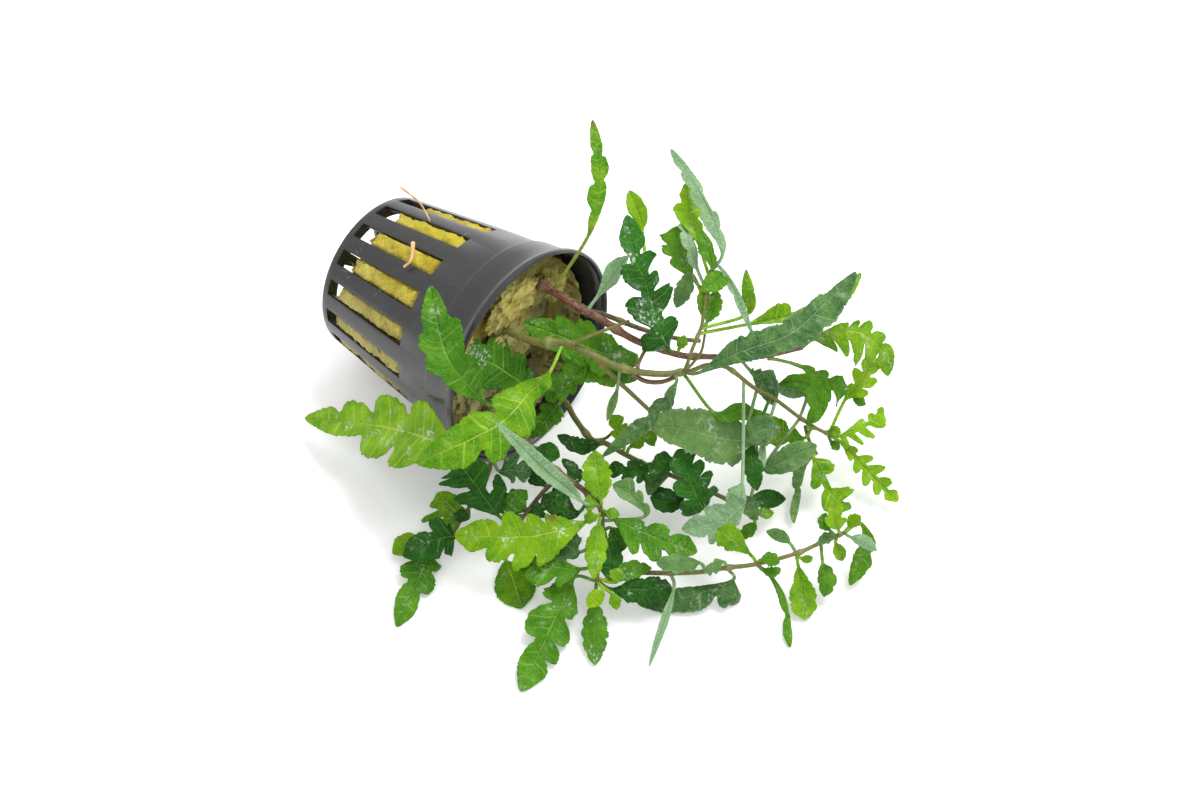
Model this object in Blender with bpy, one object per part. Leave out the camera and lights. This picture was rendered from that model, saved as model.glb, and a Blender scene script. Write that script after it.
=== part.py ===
# Hygrophila in a black net pot that lies on its side: the pot, the torn wool that holds the plant, roots,
# stems and leaves. Metres, +Z up, -Y towards the viewer. The origin is on the floor under the plant's middle.
import bpy
import bmesh
from math import radians, sin, cos, pi
from mathutils import Vector

MM = 0.001

# Places are read off a picture 1200 pixels wide: a pixel and a height in mm above the floor give a point.
VIEW_ELEVATION = radians(54)
VIEW_DISTANCE = 600 * MM
FOCAL_PIXELS = 2440
PICTURE_MIDDLE = (600, 400)
MIDDLE = Vector((-0.2, -21.1, 0)) * MM

# Net pot, mm
RIM_RADIUS = 27.5
BASE_RADIUS = 19.9
POT_HEIGHT = 49.6
WALL = 1.0
STEP_DEPTH = 9.6
STEP_RADIUS = 25.3
SLOT_COUNT = 16
SLOT_START = 20.0
SLOT_END = 47.8
SLOT_TURN = radians(-9.5)
HUB_RADIUS = 5.0
BASE_RING_RADIUS = 16.5
POT_AZIMUTH = radians(-40.3)
RIM_MIDDLE = Vector((-16.3, -7.3, 0))
COLUMNS_PER_SLOT = 4

# Torn wool: (depth in the pot, angle to the ring's middle, how far out that is, radius), lengths in mm
WOOL_SIDE = radians(100)
WOOL_LOW = radians(130)
WOOL = {
    "wool_plug": {"sides": 20, "rough": 0.02, "rings": [
        (6.5, WOOL_SIDE, 2.2, 16.0), (7.5, WOOL_SIDE, 2.2, 19.4), (12, WOOL_SIDE, 1.4, 20.2),
        (22, WOOL_SIDE, 0.8, 20.2), (34, WOOL_SIDE, 0.5, 19.2), (39, WOOL_SIDE, 0.7, 17.4),
        (44, WOOL_LOW, 2.6, 15.6), (46, WOOL_LOW, 2.6, 12.6)]},
    "wool_flap": {"sides": 10, "rough": 0.08, "rings": [
        (5.9, radians(-8), 15.5, 5.0), (4.0, radians(-8), 15.8, 6.2), (2.2, radians(-6), 16.2, 5.0),
        (1.4, radians(-4), 16.4, 2.5)]},
    "wool_tuft": {"sides": 10, "rough": 0.1, "rings": [
        (5.9, radians(68), 10.5, 4.4), (4.2, radians(68), 10.5, 5.2), (2.4, radians(66), 10.5, 3.8),
        (1.6, radians(66), 10.5, 1.8)]},
}

# Curves: how finely they are sampled
CURVE_STEPS = 16
STEM_SAMPLES = 200
POINTS_PER_BEND = 1.6
ROOT_POINTS = 7
ROOT_TAPER = 0.5

# Leaves, mm, and shares of the blade
LEAF_THICK = 0.5
PETIOLE_WIDE = 1.1
TIP_HALF_WIDTH = 0.25
STEM_CLEARANCE = 0.48
RIB_POINTS = 61
SINUS_DEPTH = 0.5
SHALLOW_SINUS = 0.72
SHOULDER = 0.62
FAR_LOBE_COST = 0.15
WIDEST_POWER = 0.85
FACING = Vector((0, -cos(radians(63)), sin(radians(63))))

FINISHES = {
    "pot_black": ((0.012, 0.012, 0.014), 0.42),
    "wool_olive": ((0.33, 0.27, 0.06), 0.95),
    "root_tan": ((0.62, 0.36, 0.16), 0.6),
    "stem_brown": ((0.2, 0.1, 0.06), 0.5),
    "stem_green": ((0.24, 0.24, 0.07), 0.5),
    "leaf_lime": ((0.16, 0.38, 0.01), 0.4),
    "leaf_mid": ((0.06, 0.22, 0.02), 0.4),
    "leaf_dark": ((0.015, 0.1, 0.02), 0.35),
    "leaf_pale": ((0.25, 0.42, 0.24), 0.6),
}

# name, finish, radius at the start and end in mm, (pixel x, pixel y, height in mm) along it
STEMS = [
    ("stem_upper", "stem_brown", 1.2, 0.6,
     [(553, 291, 42), (578, 308, 43), (601, 319.5, 43.5), (637, 341, 43), (680, 355, 40), (704, 356.5, 38),
      (757, 357, 33), (802, 348, 29)]),
    ("stem_behind", "stem_brown", 0.8, 0.6,
     [(572, 301, 36), (591, 311, 37.5), (611, 317, 38.5), (640, 328.5, 38.5), (675, 338, 36),
      (700, 341, 35)]),
    ("stem_main", "stem_green", 1.0, 0.8,
     [(516, 335, 39), (539, 342.5, 40), (565, 343, 41), (588, 353, 41), (611, 364, 40), (633, 371, 39),
      (662, 374, 38), (684, 372, 37)]),
    ("stem_shoot", "stem_green", 0.6, 0.4,
     [(686, 367, 40), (692, 350, 44), (702, 324, 48), (706, 297, 51.5), (711, 270, 54)]),
    ("stem_right", "stem_green", 0.8, 0.5,
     [(691, 371, 36.5), (708, 365, 35.5), (728, 368, 33), (753, 387, 27.5), (774, 398.5, 24),
      (799, 417, 18.5),
      (816, 428, 15), (831, 435, 12)]),
    ("stem_twig", "stem_green", 0.45, 0.35,
     [(805, 426, 14.5), (809, 440, 12), (817, 454, 9.5)]),
    ("stem_front", "stem_brown", 0.8, 0.5,
     [(538, 380, 17), (564.5, 401.5, 17), (575, 418.5, 16), (591, 439, 15), (604.5, 442.7, 14),
      (632, 458, 12),
      (668, 474, 10), (705, 489, 8.5), (752, 512, 7)]),
    ("stem_low", "stem_brown", 0.9, 0.5,
     [(500, 397, 24), (516, 430, 22), (539, 456, 19), (564, 476, 17), (586, 492, 16), (600, 507, 15),
      (602, 535, 12), (598, 560, 10), (597, 583, 8)]),
    ("stem_left", "stem_green", 0.7, 0.4,
     [(487, 402, 22), (489, 430, 21), (492, 455, 17), (484, 484, 11), (466, 512, 7), (449, 540, 5)]),
    ("stem_fork", "stem_brown", 0.6, 0.4,
     [(558, 477, 14.5), (545, 490, 11), (530, 508, 8), (516, 528, 6), (508, 546, 5)]),
    ("stem_low_right", "stem_brown", 0.6, 0.45,
     [(605, 560, 8.5), (632, 571, 7.5), (665, 573, 8), (700, 572, 8.5), (724.5, 568, 9), (757, 564, 10),
      (796, 553.5, 11), (816, 545, 11), (846, 532, 11)]),
]

ROOTS = [
    ("root_top", 0.3, [(401, 187.5, 44), (411, 195, 47), (419, 202, 47), (425, 211, 46), (430, 221, 45)]),
    ("root_hook", 0.5, [(413, 243, 46), (412.5, 252, 46.5), (410.5, 261, 46), (404, 267, 45)]),
    ("root_side", 0.35, [(371, 241, 33), (379, 237, 35), (388, 235, 36.5), (396, 236, 37)]),
]

# name, finish, stem it grows on, rib from its stem to its tip, lobe tips as pixels. The rib's second point is
# where the blade starts. A leaf with no lobe pixels has a width in mm and a count of lobes on each side.
LEAVES = [
    ("leaf_tall", "leaf_lime", None,
     [(560, 280, 44.5), (574, 260, 50), (590, 236, 54), (597, 180, 60), (592.5, 120, 64)],
     [(588, 219), (587, 197), (589, 165), (606, 188), (609, 165)]),
    ("leaf_pale_up", "leaf_pale", "stem_upper",
     [(586, 312, 43), (600, 291, 46), (622, 262, 49), (640, 228, 53), (631, 190, 57)],
     [(609, 261), (646, 214), (627, 196)]),
    ("leaf_dark_up", "leaf_dark", "stem_upper",
     [(674, 354, 40), (669, 348, 43.5), (659, 327, 48), (645, 281, 53), (635, 258, 56), (627, 215, 60)],
     [(619.5, 238), (623, 276), (628, 305.5), (643, 345), (644, 240), (655, 252), (658, 276), (672, 284),
      (677, 322)]),
    ("leaf_yellow_up", "leaf_lime", "stem_shoot", [(709, 276, 54), (700, 246, 57), (691, 214, 60),
      (686, 183, 62)],
     [(673, 208), (702, 227), (679, 190)]),
    ("leaf_pale_long", "leaf_pale", "stem_shoot",
     [(712, 270, 55), (714, 248, 60), (706, 222, 63), (697, 192, 65), (685, 170, 65), (671, 150, 64)],
     [(686, 180), (704, 184), (718, 214), (697, 215)]),
    ("leaf_pale_narrow", "leaf_pale", "stem_shoot",
     [(713, 268, 54), (724, 270, 56), (734, 290, 53), (746, 318, 49), (754, 335, 46)], [(736, 303),
      (728, 285)]),
    ("leaf_far", "leaf_lime", "stem_shoot",
     [(702, 334, 45.5), (748, 324, 43), (785, 317, 42), (825, 302, 42), (861, 273, 43)],
     [(778, 304), (812, 303), (848, 302)]),
    ("leaf_big_right", "leaf_mid", "stem_main",
     [(684, 374, 38), (700, 372, 41), (740, 352, 45), (790, 334, 47), (825, 303, 48), (856, 272, 49)],
     [(738, 338), (768, 327), (815, 296), (757, 360), (791, 351), (817, 341), (838, 319)]),
    ("leaf_arch", "leaf_lime", "stem_upper",
     [(802, 347, 29), (832, 335, 33), (852, 332, 34), (876, 345, 29), (888, 376, 21)],
     [(874, 324), (859, 365), (886, 337), (838, 354), (867, 357)]),
    ("leaf_fan", "leaf_lime", "stem_right",
     [(829, 433, 12), (851, 397, 18), (868, 370, 22), (873, 352, 23)], [(853, 369), (880, 368)]),
    ("leaf_mid_right", "leaf_mid", "stem_upper",
     [(768, 357, 32), (802, 366, 26), (824, 378, 23), (848, 386, 21)],
     [(808, 374), (828, 371), (837, 409), (826, 402)]),
    ("leaf_feather_up", "leaf_lime", "stem_right", [(830, 435, 13), (842, 435, 13), (862, 424, 13),
      (883, 407, 13)],
     [(862, 413), (878, 424), (872, 440), (855, 447)]),
    ("leaf_feather_down", "leaf_lime", "stem_right",
     [(831, 436, 11), (842, 444, 10), (862, 468, 7), (880, 486, 5), (899, 500, 3)],
     [(854, 470), (863, 484), (876, 494), (873, 455), (884, 465), (892, 478)]),
    ("leaf_oak", "leaf_lime", "stem_twig",
     [(817, 455, 9.5), (819, 459, 10), (829, 484, 8), (842, 508, 6), (852, 520, 5)],
     [(835, 462), (811, 488), (855, 489), (871, 516), (826, 512)]),
    ("leaf_end", "leaf_mid", "stem_low_right", [(846, 532, 11), (861, 523, 10), (866, 548, 7),
      (850, 585, 2)],
     [(876, 544), (871, 567), (853, 555)]),
    ("leaf_paddle", "leaf_lime", "stem_low_right", [(797, 555, 10), (798, 564, 8), (802, 590, 4),
      (805, 620, 1.2)],
     (6.8, 0)),
    ("leaf_under", "leaf_pale", "stem_low_right",
     [(728, 570, 7.5), (733, 580, 6), (700, 593, 4), (668, 602, 2.5), (645, 606, 1.5)],
     [(737, 604), (700, 611), (676, 588)]),
    ("leaf_glossy", "leaf_dark", "stem_low", [(598, 582, 8), (612, 589, 8), (640, 589, 7.5),
      (672, 588, 6.5)],
     (7.6, 1)),
    ("leaf_broad", "leaf_pale", "stem_front",
     [(748, 510, 8), (757, 450, 16), (718, 438, 21), (690, 431, 22), (648, 425, 22)],
     [(665, 405), (700, 410), (732, 412), (668, 443), (692, 454), (732, 462)]),
    ("leaf_bright_right", "leaf_lime", "stem_right",
     [(812, 427, 14), (804, 438, 13.5), (785, 432, 15), (765, 420, 16), (748, 409, 17)],
     [(784, 420), (796, 428), (770, 445), (790, 452)]),
    ("leaf_pendant", "leaf_pale", "stem_right",
     [(745, 379, 30), (745, 410, 31), (743, 450, 26), (740, 495, 19), (719, 537, 13)],
     [(727, 488), (697, 518), (682, 530), (701, 541)]),
    ("leaf_maple", "leaf_dark", "stem_front", [(718, 496, 8), (706, 502, 10), (694, 485, 13),
      (679, 455, 16)],
     [(711, 471), (674, 490), (686, 519), (722, 492)]),
    ("leaf_wedge", "leaf_lime", "stem_low_right", [(757, 563, 10), (752, 556, 12), (736, 541, 14),
      (717, 533, 15)],
     [(730, 523), (722, 548)]),
    ("leaf_long_dull", "leaf_mid", "stem_main",
     [(675, 373, 38.5), (676, 383, 40), (662, 404, 36), (640, 428, 30), (603, 456, 22)],
     [(668, 388), (652, 403), (630, 423), (672, 407), (652, 428)]),
    ("leaf_top_bright", "leaf_lime", "stem_low", [(601, 507, 16), (601, 500, 18), (597, 475, 21),
      (595, 450, 23)],
     (7.2, 1)),
    ("leaf_left_bright", "leaf_lime", "stem_low",
     [(599, 514, 15), (585, 522, 16), (560, 530, 16), (520, 537, 14), (454.5, 535, 12)],
     [(508, 511), (530, 513), (547, 513), (483, 518), (493, 563), (519, 572), (540.5, 567), (465, 552)]),
    ("leaf_right_bright", "leaf_lime", "stem_low", [(602, 514, 15), (613, 518, 16), (650, 535, 15),
      (697, 552, 13)],
     [(638, 518), (664, 524), (687, 535), (631.5, 554), (651, 561), (677, 559)]),
    ("leaf_down_bright", "leaf_lime", "stem_low", [(600, 516, 15), (599, 523, 17), (596, 550, 16),
      (593.6, 579, 14)],
     (5.4, 1)),
    ("leaf_hairy_long", "leaf_pale", "stem_low",
     [(598, 506, 16.5), (585, 503, 19), (570, 490, 23), (545, 470, 31), (520, 445, 40), (494.5, 421, 46)],
     (2.8, 0)),
    ("leaf_far_left", "leaf_lime", "stem_left",
     [(491, 447, 20), (465, 449, 29), (434, 440, 30), (381.6, 426, 20), (305, 418, 6)],
     [(326.5, 405.5), (353, 400), (390, 395), (427.6, 401), (369, 459), (392, 468), (334, 436)]),
    ("leaf_big_front", "leaf_lime", "stem_main",
     [(563, 345, 42), (549, 373, 41), (531, 391, 38), (504, 420, 37), (469, 440, 36), (416, 463, 33)],
     [(467, 414), (494, 395), (463, 469), (502, 460), (531, 434), (547, 391)]),
    ("leaf_pot_side", "leaf_mid", None,
     [(497, 400, 33), (487, 404, 36), (455, 370, 48), (441, 340, 52), (431, 286, 57)],
     [(417, 331), (422, 360), (443, 380), (446, 307), (463, 325), (480, 372)]),
    ("leaf_pot_mouth", "leaf_dark", None, [(538, 392, 24), (526, 386, 29), (497, 372, 34), (462, 347, 42)],
     [(508, 339), (524.5, 354), (537, 372), (476, 377)]),
    ("leaf_under_main", "leaf_mid", "stem_main", [(640, 367, 36.5), (634, 364, 36.5), (600, 352, 37),
      (560, 336, 38), (525, 322, 39)],
     [(608, 333), (587, 319.5), (562, 316.5), (547, 318.5), (622, 372), (590, 372), (556, 358)]),
    ("leaf_deep_dark", "leaf_dark", "stem_fork", [(518, 525, 6.5), (499, 516, 11), (478, 488, 15),
      (458, 461, 17)],
     [(435, 471.5), (439, 484), (455, 502), (486, 462), (506, 489)]),
    ("leaf_behind_left", "leaf_lime", "stem_left", [(468, 510, 7), (458, 494, 5), (440, 516, 3.5),
      (392, 553, 1.5)],
     [(435, 494), (421.5, 522), (462, 520)]),
    ("leaf_dark_left", "leaf_dark", "stem_left", [(449, 541, 5.5), (442, 539, 7), (424, 543, 6.5),
      (403, 556, 5)],
     [(431, 518), (455, 517), (438, 560), (458, 550)]),
    ("leaf_left_tip", "leaf_mid", "stem_left", [(449, 542, 4), (431, 554.5, 3), (418, 580, 1.8),
      (397, 626, 0.6)],
     [(446, 559), (435, 587), (416, 611.5), (401, 566), (396, 596)]),
    ("leaf_front_tip", "leaf_mid", "stem_low",
     [(597, 581, 7), (574, 577, 6), (562, 604, 4), (545, 640, 2), (521, 691, 0.6)],
     [(543, 591), (527, 617), (517, 664), (576, 615), (569, 643), (558, 663), (547, 676)]),
    ("leaf_front_round", "leaf_lime", "stem_fork", [(508, 547, 4.5), (506, 560, 3.5), (513, 580, 2),
      (521, 608, 0.8)],
     (9.8, 0)),
    ("leaf_front_mid", "leaf_mid", "stem_low", [(600, 566, 9), (580, 569, 9.5), (555, 567, 10),
      (518, 560, 9.5)],
     [(536, 587), (560, 588), (548, 548), (522, 548)]),
    ("leaf_front_small", "leaf_mid", "stem_low", [(597, 583, 7), (595, 602, 6), (595, 632, 3.5),
      (594.7, 665, 1)],
     (6.4, 1)),
]

# Where the camera looks from, and the picture's own right and up
BACK = Vector((0, -cos(VIEW_ELEVATION), sin(VIEW_ELEVATION)))
PICTURE_UP = Vector((0, sin(VIEW_ELEVATION), cos(VIEW_ELEVATION)))
PICTURE_RIGHT = Vector((1, 0, 0))
CAMERA = BACK * VIEW_DISTANCE


def seen(px, py, height):
    across = PICTURE_RIGHT * ((px - PICTURE_MIDDLE[0]) / FOCAL_PIXELS)
    down = PICTURE_UP * ((py - PICTURE_MIDDLE[1]) / FOCAL_PIXELS)
    ray = across - down - BACK
    reach = (height * MM - CAMERA.z) / ray.z
    return CAMERA + ray * reach - MIDDLE


def pictured(point):
    sight = point + MIDDLE - CAMERA
    scale = -FOCAL_PIXELS / sight.dot(BACK)
    px = PICTURE_MIDDLE[0] + scale * sight.dot(PICTURE_RIGHT)
    py = PICTURE_MIDDLE[1] - scale * sight.dot(PICTURE_UP)
    return Vector((px, py))


def smooth_line(points, count):
    # Evenly spaced points on a smooth curve through the given ones
    padded = [points[0] * 2 - points[1]] + points + [points[-1] * 2 - points[-2]]
    dense = []
    for a, b, c, d in zip(padded, padded[1:], padded[2:], padded[3:]):
        for step in range(CURVE_STEPS):
            t = step / CURVE_STEPS
            pull = (2 * a - 5 * b + 4 * c - d) * t * t + (3 * b - a - 3 * c + d) * t * t * t
            dense.append(b + ((c - a) * t + pull) / 2)
    dense.append(points[-1])
    lengths = [0]
    for a, b in zip(dense, dense[1:]):
        lengths.append(lengths[-1] + (b - a).length)
    line = []
    place = 0
    for index in range(count):
        wanted = lengths[-1] * index / (count - 1)
        while place < len(dense) - 2 and lengths[place + 1] < wanted:
            place += 1
        part = (wanted - lengths[place]) / (lengths[place + 1] - lengths[place])
        line.append(dense[place].lerp(dense[place + 1], part))
    return line


def make_material(name):
    colour, roughness = FINISHES[name]
    material = bpy.data.materials.new(name)
    material.use_nodes = True
    shader = material.node_tree.nodes["Principled BSDF"]
    shader.inputs["Base Color"].default_value = (*colour, 1)
    shader.inputs["Roughness"].default_value = roughness
    shader.inputs["Metallic"].default_value = 0
    return material


def add_object(name, data, finish):
    thing = bpy.data.objects.new(name, data)
    bpy.context.scene.collection.objects.link(thing)
    data.materials.append(MATERIALS[finish])
    return thing


def add_mesh(name, finish, vertices, faces):
    mesh = bpy.data.meshes.new(name)
    mesh.from_pydata([tuple(v) for v in vertices], [], faces)
    shape = bmesh.new()
    shape.from_mesh(mesh)
    bmesh.ops.recalc_face_normals(shape, faces=shape.faces)
    shape.to_mesh(mesh)
    shape.free()
    mesh.shade_smooth()
    mesh.set_sharp_from_angle(angle=radians(40))
    return add_object(name, mesh, finish)


# Net pot

def pot_frame():
    # The pot's own axes, tilted so that the rim and the base both touch the floor
    slope = (RIM_RADIUS - BASE_RADIUS) / POT_HEIGHT
    lean = (1 + slope * slope) ** -0.5
    out = Vector((cos(POT_AZIMUTH) * lean, sin(POT_AZIMUTH) * lean, slope * lean))
    side = out.cross(Vector((0, 0, 1))).normalized()
    top = side.cross(out)
    middle = (RIM_MIDDLE + Vector((0, 0, RIM_RADIUS * lean))) * MM - MIDDLE
    return middle, out, side, top


def pot_point(depth, angle, radius):
    # depth runs from the rim towards the base, and the angle from the top round to the viewer's side
    middle, out, side, top = pot_frame()
    return middle + (radius * (side * sin(angle) + top * cos(angle)) - out * depth) * MM


def make_pot():
    # Rings from the lip down the wall and in to the hub. Cells in a slot or a base opening are left out.
    rings = [
        (0.0, RIM_RADIUS), (1.6, RIM_RADIUS - 0.9), (STEP_DEPTH - 0.6, STEP_RADIUS + 0.4),
        (STEP_DEPTH, STEP_RADIUS - 0.2), (SLOT_START, 23.9), (SLOT_END, 20.1), (POT_HEIGHT, BASE_RADIUS),
        (POT_HEIGHT, BASE_RING_RADIUS), (POT_HEIGHT, HUB_RADIUS),
    ]
    slot_row = 4
    spoke_row = 7
    columns = SLOT_COUNT * COLUMNS_PER_SLOT
    inner_depth = POT_HEIGHT - WALL / 2
    shape = bmesh.new()
    grid = []
    for depth, radius in rings:
        row = []
        for column in range(columns):
            angle = SLOT_TURN + 2 * pi * (column - COLUMNS_PER_SLOT / 4) / columns
            row.append(shape.verts.new(pot_point(min(depth, inner_depth), angle, radius - WALL / 2)))
        grid.append(row)
    for index in range(len(rings) - 1):
        for column in range(columns):
            in_slot = column % COLUMNS_PER_SLOT < COLUMNS_PER_SLOT // 2
            in_opening = column % (2 * COLUMNS_PER_SLOT) >= COLUMNS_PER_SLOT // 2
            if (index == slot_row and in_slot) or (index == spoke_row and in_opening):
                continue
            after = (column + 1) % columns
            corners = (grid[index][column], grid[index][after], grid[index + 1][after], grid[index + 1][column])
            shape.faces.new(corners)
    shape.faces.new(grid[-1])
    bmesh.ops.recalc_face_normals(shape, faces=shape.faces)
    mesh = bpy.data.meshes.new("net_pot")
    shape.to_mesh(mesh)
    shape.free()
    mesh.shade_smooth()
    mesh.set_sharp_from_angle(angle=radians(35))
    pot = add_object("net_pot", mesh, "pot_black")
    wall = pot.modifiers.new("wall", "SOLIDIFY")
    wall.thickness = WALL * MM
    wall.offset = 0
    wall.use_even_offset = True


# Torn wool

def make_lump(name, rings, sides, rough):
    vertices = []
    for row, (depth, angle, out, radius) in enumerate(rings):
        for side in range(sides):
            turn = 2 * pi * side / sides
            wave = 1 + rough * sin(3 * turn + 2.1 * row) + rough * 0.6 * sin(7 * turn + 1.3 * row)
            middle = pot_point(depth, angle, out)
            edge = pot_point(depth, turn, radius * wave) - pot_point(depth, 0, 0)
            vertices.append(middle + edge)
    faces = []
    for row in range(len(rings) - 1):
        for side in range(sides):
            after = (side + 1) % sides
            low, high = row * sides, (row + 1) * sides
            faces.append((low + side, low + after, high + after, high + side))
    faces.append(tuple(range(sides)))
    faces.append(tuple(range((len(rings) - 1) * sides, len(rings) * sides)))
    add_mesh(name, "wool_olive", vertices, faces)


# Stems and roots

def add_tube(name, finish, line, radii):
    curve = bpy.data.curves.new(name, "CURVE")
    curve.dimensions = "3D"
    curve.bevel_depth = MM
    curve.bevel_resolution = 1
    curve.use_fill_caps = True
    spline = curve.splines.new("POLY")
    spline.points.add(len(line) - 1)
    for place, (point, radius) in enumerate(zip(line, radii)):
        spline.points[place].co = (*point, 1)
        spline.points[place].radius = radius
    return add_object(name, curve, finish)


def make_stems():
    lines = {}
    for name, finish, thick, thin, path in STEMS:
        points = [seen(*place) for place in path]
        count = round(POINTS_PER_BEND * len(points))
        line = smooth_line(points, count)
        radii = [thick + (thin - thick) * index / (count - 1) for index in range(count)]
        add_tube(name, finish, line, radii)
        fine = smooth_line(points, STEM_SAMPLES)
        last = STEM_SAMPLES - 1
        lines[name] = [(point, thick + (thin - thick) * index / last) for index, point in enumerate(fine)]
    return lines


def make_roots():
    for name, radius, path in ROOTS:
        points = [seen(*place) for place in path]
        line = smooth_line(points, ROOT_POINTS)
        shares = [index / (ROOT_POINTS - 1) for index in range(ROOT_POINTS)]
        add_tube(name, "root_tan", line, [radius * (1 + ROOT_TAPER * (0.2 - share)) for share in shares])


# Leaves

def start_on_stem(stem_line, place, heading):
    # A point just off the stem's surface, on the side where the leaf leaves it
    pixel = Vector(place[:2])
    index = min(range(len(stem_line)), key=lambda i: (pictured(stem_line[i][0]) - pixel).length)
    middle, radius = stem_line[index]
    ahead = stem_line[min(index + 1, len(stem_line) - 1)][0] - stem_line[max(index - 1, 0)][0]
    outward = heading - middle
    outward -= ahead * (outward.dot(ahead) / ahead.length_squared)
    return middle + outward.normalized() * ((radius + LEAF_THICK / 2 + STEM_CLEARANCE) * MM)


def leaf_frame(rib, count):
    # Points along the midrib, each with the blade's sideways and upward directions
    line = smooth_line(rib, count)
    rows = []
    for index, point in enumerate(line):
        ahead = (line[min(index + 1, count - 1)] - line[max(index - 1, 0)]).normalized()
        side = ahead.cross(FACING).normalized()
        rows.append((point, side, side.cross(ahead).normalized()))
    return rows


def lobe_places(rows, lobes, blade_start):
    # Turns lobe tips given as pixels into (place along the rib, distance from it) for each side of the blade
    sides = {1: [], -1: []}
    last = len(rows) - 1
    for lobe in lobes:
        pixel = Vector(lobe)
        best = None
        for index in range(int(blade_start * last) + 1, last - 1):
            point, side, _ = rows[index]
            base = pictured(point)
            reach = pictured(point + side * MM) - base
            wide = (pixel - base).dot(reach) / reach.length_squared
            miss = (pixel - base - reach * wide).length + FAR_LOBE_COST * abs(wide)
            if best is None or miss < best[0]:
                best = (miss, index / last, wide)
        sides[1 if best[2] > 0 else -1].append((best[1], abs(best[2])))
    return sides


def even_lobes(width, count, blade_start):
    # Lobes of an ordinary leaf: widest a little short of the blade's middle, three at least on each side
    lobes = []
    total = max(count, 2) + 1
    for index in range(total):
        along = (index + 0.75) / (total + 0.6)
        lobes.append((blade_start + (1 - blade_start) * along, width / 2 * sin(pi * along ** WIDEST_POWER)))
    return {1: lobes, -1: lobes}


def outline(lobes, blade_start, sinus):
    # Corner points (place along the rib, half width) of one side of a leaf
    corners = [(0, PETIOLE_WIDE / 2), (blade_start, PETIOLE_WIDE / 2)]
    lobes = sorted(lobes)
    for place, (along, wide) in enumerate(lobes):
        corners.append((along, wide))
        if place + 1 < len(lobes):
            after, next_wide = lobes[place + 1]
            corners.append(((along + after) / 2, sinus * (wide + next_wide) / 2))
    if lobes:
        corners.append(((lobes[-1][0] + 1) / 2, SHOULDER * lobes[-1][1]))
    corners.append((1, TIP_HALF_WIDTH))
    return corners


def width_at(corners, along):
    for (a, wide_a), (b, wide_b) in zip(corners, corners[1:]):
        if along <= b:
            return wide_a + (wide_b - wide_a) * (along - a) / max(b - a, 1e-6)
    return corners[-1][1]


def make_leaf(name, finish, stem, rib, lobes, stem_lines):
    points = [seen(*place) for place in rib]
    if stem:
        points[0] = start_on_stem(stem_lines[stem], rib[0], points[1])
    rows = leaf_frame(points, RIB_POINTS)
    last = len(rows) - 1
    nearest = min(range(last), key=lambda i: (rows[i][0] - points[1]).length)
    blade_start = nearest / last
    if isinstance(lobes, tuple):
        width, count = lobes
        sides = even_lobes(width, count, blade_start)
        sinus = SHALLOW_SINUS if count else 1
    else:
        sides = lobe_places(rows, lobes, blade_start)
        sinus = SINUS_DEPTH
    corners = {sign: outline(sides[sign], blade_start, sinus) for sign in sides}
    places = sorted({round(along * last) for sign in sides for along, _ in corners[sign]})
    vertices = []
    for place in places:
        point, side, up = rows[place]
        left = side * (width_at(corners[1], place / last) * MM)
        right = side * (width_at(corners[-1], place / last) * MM)
        half = up * (LEAF_THICK / 2 * MM)
        vertices += [point + left + half, point + half, point - right + half,
                     point - right - half, point - half, point + left - half]
    faces = []
    around = 6
    for row in range(len(places) - 1):
        low, high = row * around, (row + 1) * around
        for corner in range(around):
            after = (corner + 1) % around
            faces.append((low + corner, low + after, high + after, high + corner))
    faces.append(tuple(range(around)))
    faces.append(tuple(range((len(places) - 1) * around, len(places) * around)))
    add_mesh(name, finish, vertices, faces)


for thing in list(bpy.data.objects):
    bpy.data.objects.remove(thing, do_unlink=True)
MATERIALS = {name: make_material(name) for name in FINISHES}

make_pot()
for lump, shape in WOOL.items():
    make_lump(lump, shape["rings"], shape["sides"], shape["rough"])
make_roots()
STEM_LINES = make_stems()
for leaf_row in LEAVES:
    make_leaf(*leaf_row, STEM_LINES)
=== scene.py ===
# A hygrophila in its slotted net pot, lying on its side on a white floor.
# Places come from a picture 1200 by 800: a pixel and a height above the floor in mm give a point.
import bpy
from math import radians, sin, cos, pi, sqrt, exp, log, atan2
from random import Random
from mathutils import Vector, Matrix, noise


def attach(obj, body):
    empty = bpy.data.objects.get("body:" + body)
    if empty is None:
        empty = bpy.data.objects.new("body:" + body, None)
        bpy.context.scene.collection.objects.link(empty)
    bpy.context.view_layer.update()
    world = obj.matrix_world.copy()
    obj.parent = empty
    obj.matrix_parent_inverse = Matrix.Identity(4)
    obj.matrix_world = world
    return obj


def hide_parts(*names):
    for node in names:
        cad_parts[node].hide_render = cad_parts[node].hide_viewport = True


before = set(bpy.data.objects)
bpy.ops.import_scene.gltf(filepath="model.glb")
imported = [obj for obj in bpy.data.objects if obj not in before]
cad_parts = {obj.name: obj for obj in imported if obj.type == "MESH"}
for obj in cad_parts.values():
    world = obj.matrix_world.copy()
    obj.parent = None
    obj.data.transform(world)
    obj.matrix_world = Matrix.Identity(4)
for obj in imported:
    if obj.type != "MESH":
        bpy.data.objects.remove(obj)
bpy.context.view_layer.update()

mm = 0.001
view = {"elevation": radians(54), "distance": 600 * mm, "focalPixels": 2440, "middle": (600, 400)}
plantMiddle = Vector((-0.2, -21.1, 0)) * mm
viewBack = Vector((0, -cos(view["elevation"]), sin(view["elevation"])))
viewUp = Vector((0, sin(view["elevation"]), cos(view["elevation"])))
viewRight = Vector((1, 0, 0))
viewPoint = viewBack * view["distance"]
curveSteps = 16  # points between two given ones, before they are spaced evenly


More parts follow.
